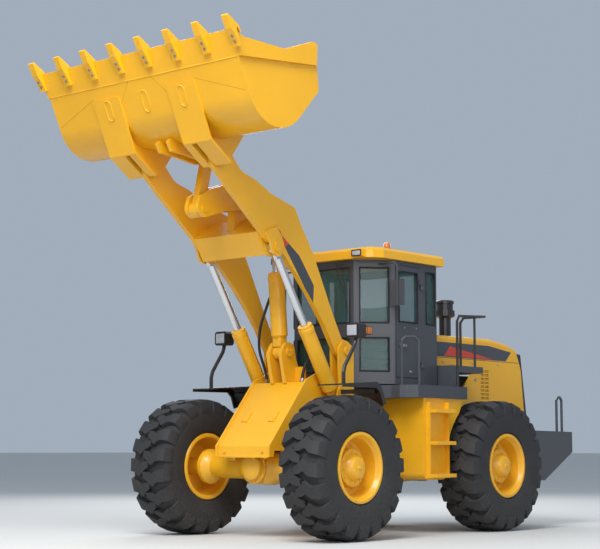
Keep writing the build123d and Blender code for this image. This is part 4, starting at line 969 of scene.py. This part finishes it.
class LOADER_OT_seat(bpy.types.Operator):
    """Sprung seat with its two cushions"""
    bl_idname = "loader.seat"
    bl_label = "Cab seat"

    def execute(self, context):
        base = cushion("seat_cushion", (-0.23, -0.245, 2.115), (0.23, 0.245, 2.225),
                       Matrix.Translation((AXLE_X - 1.84, 0, 0)), (-0.35, 0.35))
        lean = Matrix.Translation(spot(-2035, 0, 2215)) @ Matrix.Rotation(radians(-100), 4, "Y")
        cushion("seat_back", (0.02, -0.235, -0.055), (0.58, 0.235, 0.055), lean, (-0.3, 0.3))
        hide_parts("seat")
        bm = bmesh.new()
        block(bm, spot(-1990, -170, 1825), spot(-1680, 170, 1880), 0.012)
        block(bm, spot(-1960, -140, 1880), spot(-1710, 140, 2070), 0.03)
        block(bm, spot(-2060, -215, 2070), spot(-1620, 215, 2118), 0.012)
        add_piece("seat_plinth", bm, MATERIALS["plastic"], "rear_body")
        return {"FINISHED"}


class LOADER_OT_hood(bpy.types.Operator):
    """Louvre blades, latches and screws of the hood"""
    bl_idname = "loader.hood"
    bl_label = "Hood details"

    def execute(self, context):
        bm = bmesh.new()
        blades = ((LOUVRE_REAR + 0.004, LOUVRE_REAR + 0.084), (LOUVRE_FRONT - 0.084, LOUVRE_FRONT - 0.004))
        middle = (LOUVRE_REAR + LOUVRE_FRONT) / 2
        for sign in (1, -1):
            for i in range(8):
                place = Matrix.Translation((0, sign * 0.614, 1.663 + i * 0.05))
                place @= Matrix.Rotation(radians(-28 * sign), 4, "X")
                for a, b in blades:
                    block(bm, (a, -0.011, -0.004), (b, 0.011, 0.004), 0.001, place)
            block(bm, (middle - 0.007, sign * 0.609, 1.642), (middle + 0.007, sign * 0.6205, 2.028), 0.002)
        add_piece("louvre_blades", bm, MATERIALS["yellow"], "rear_body")
        bm = bmesh.new()
        for sign in (1, -1):
            for x in (-1.30, -1.95, -2.55):
                hex_bolt(bm, (x, sign * HOOD_SIDE, 2.105), (0, sign, 0), 0.010)
            turned(bm, [(0.0, 0.0), (0.0, 0.022), (0.008, 0.020), (0.010, 0.0)],
                   aim((-2.02, sign * HOOD_SIDE, 1.90), (0, sign, 0)), 32)
        add_piece("hood_screws", bm, MATERIALS["steel"], "rear_body")
        return {"FINISHED"}


CLASSES = (LoaderLooks, LOADER_OT_stage, LOADER_OT_hoses, LOADER_OT_finishes, LOADER_OT_tyres, LOADER_OT_rims,
           LOADER_OT_axles, LOADER_OT_cylinders, LOADER_OT_pins, LOADER_OT_bucket, LOADER_OT_front, LOADER_OT_lamps,
           LOADER_OT_cab, LOADER_OT_seat, LOADER_OT_hood)
OPERATORS = [cls for cls in CLASSES if issubclass(cls, bpy.types.Operator)]


class LOADER_PT_looks(bpy.types.Panel):
    """Sizes, colours and pieces of the wheel loader"""
    bl_idname = "LOADER_PT_looks"
    bl_label = "Wheel loader"
    bl_space_type = "VIEW_3D"
    bl_region_type = "UI"
    bl_category = "Loader"

    def draw(self, context):
        for name in LoaderLooks.__annotations__:
            self.layout.prop(context.scene.loader_looks, name)
        for operator in OPERATORS:
            self.layout.operator(operator.bl_idname)


def register():
    for cls in (*CLASSES, LOADER_PT_looks):
        bpy.utils.register_class(cls)
    bpy.types.Scene.loader_looks = bpy.props.PointerProperty(type=LoaderLooks)


def unregister():
    del bpy.types.Scene.loader_looks
    for cls in (LOADER_PT_looks, *reversed(CLASSES)):
        bpy.utils.unregister_class(cls)


def main():
    register()
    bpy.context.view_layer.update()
    for operator in OPERATORS:
        name = operator.bl_idname.split(".")[1]
        getattr(bpy.ops.loader, name)()


if __name__ == "__main__":
    main()
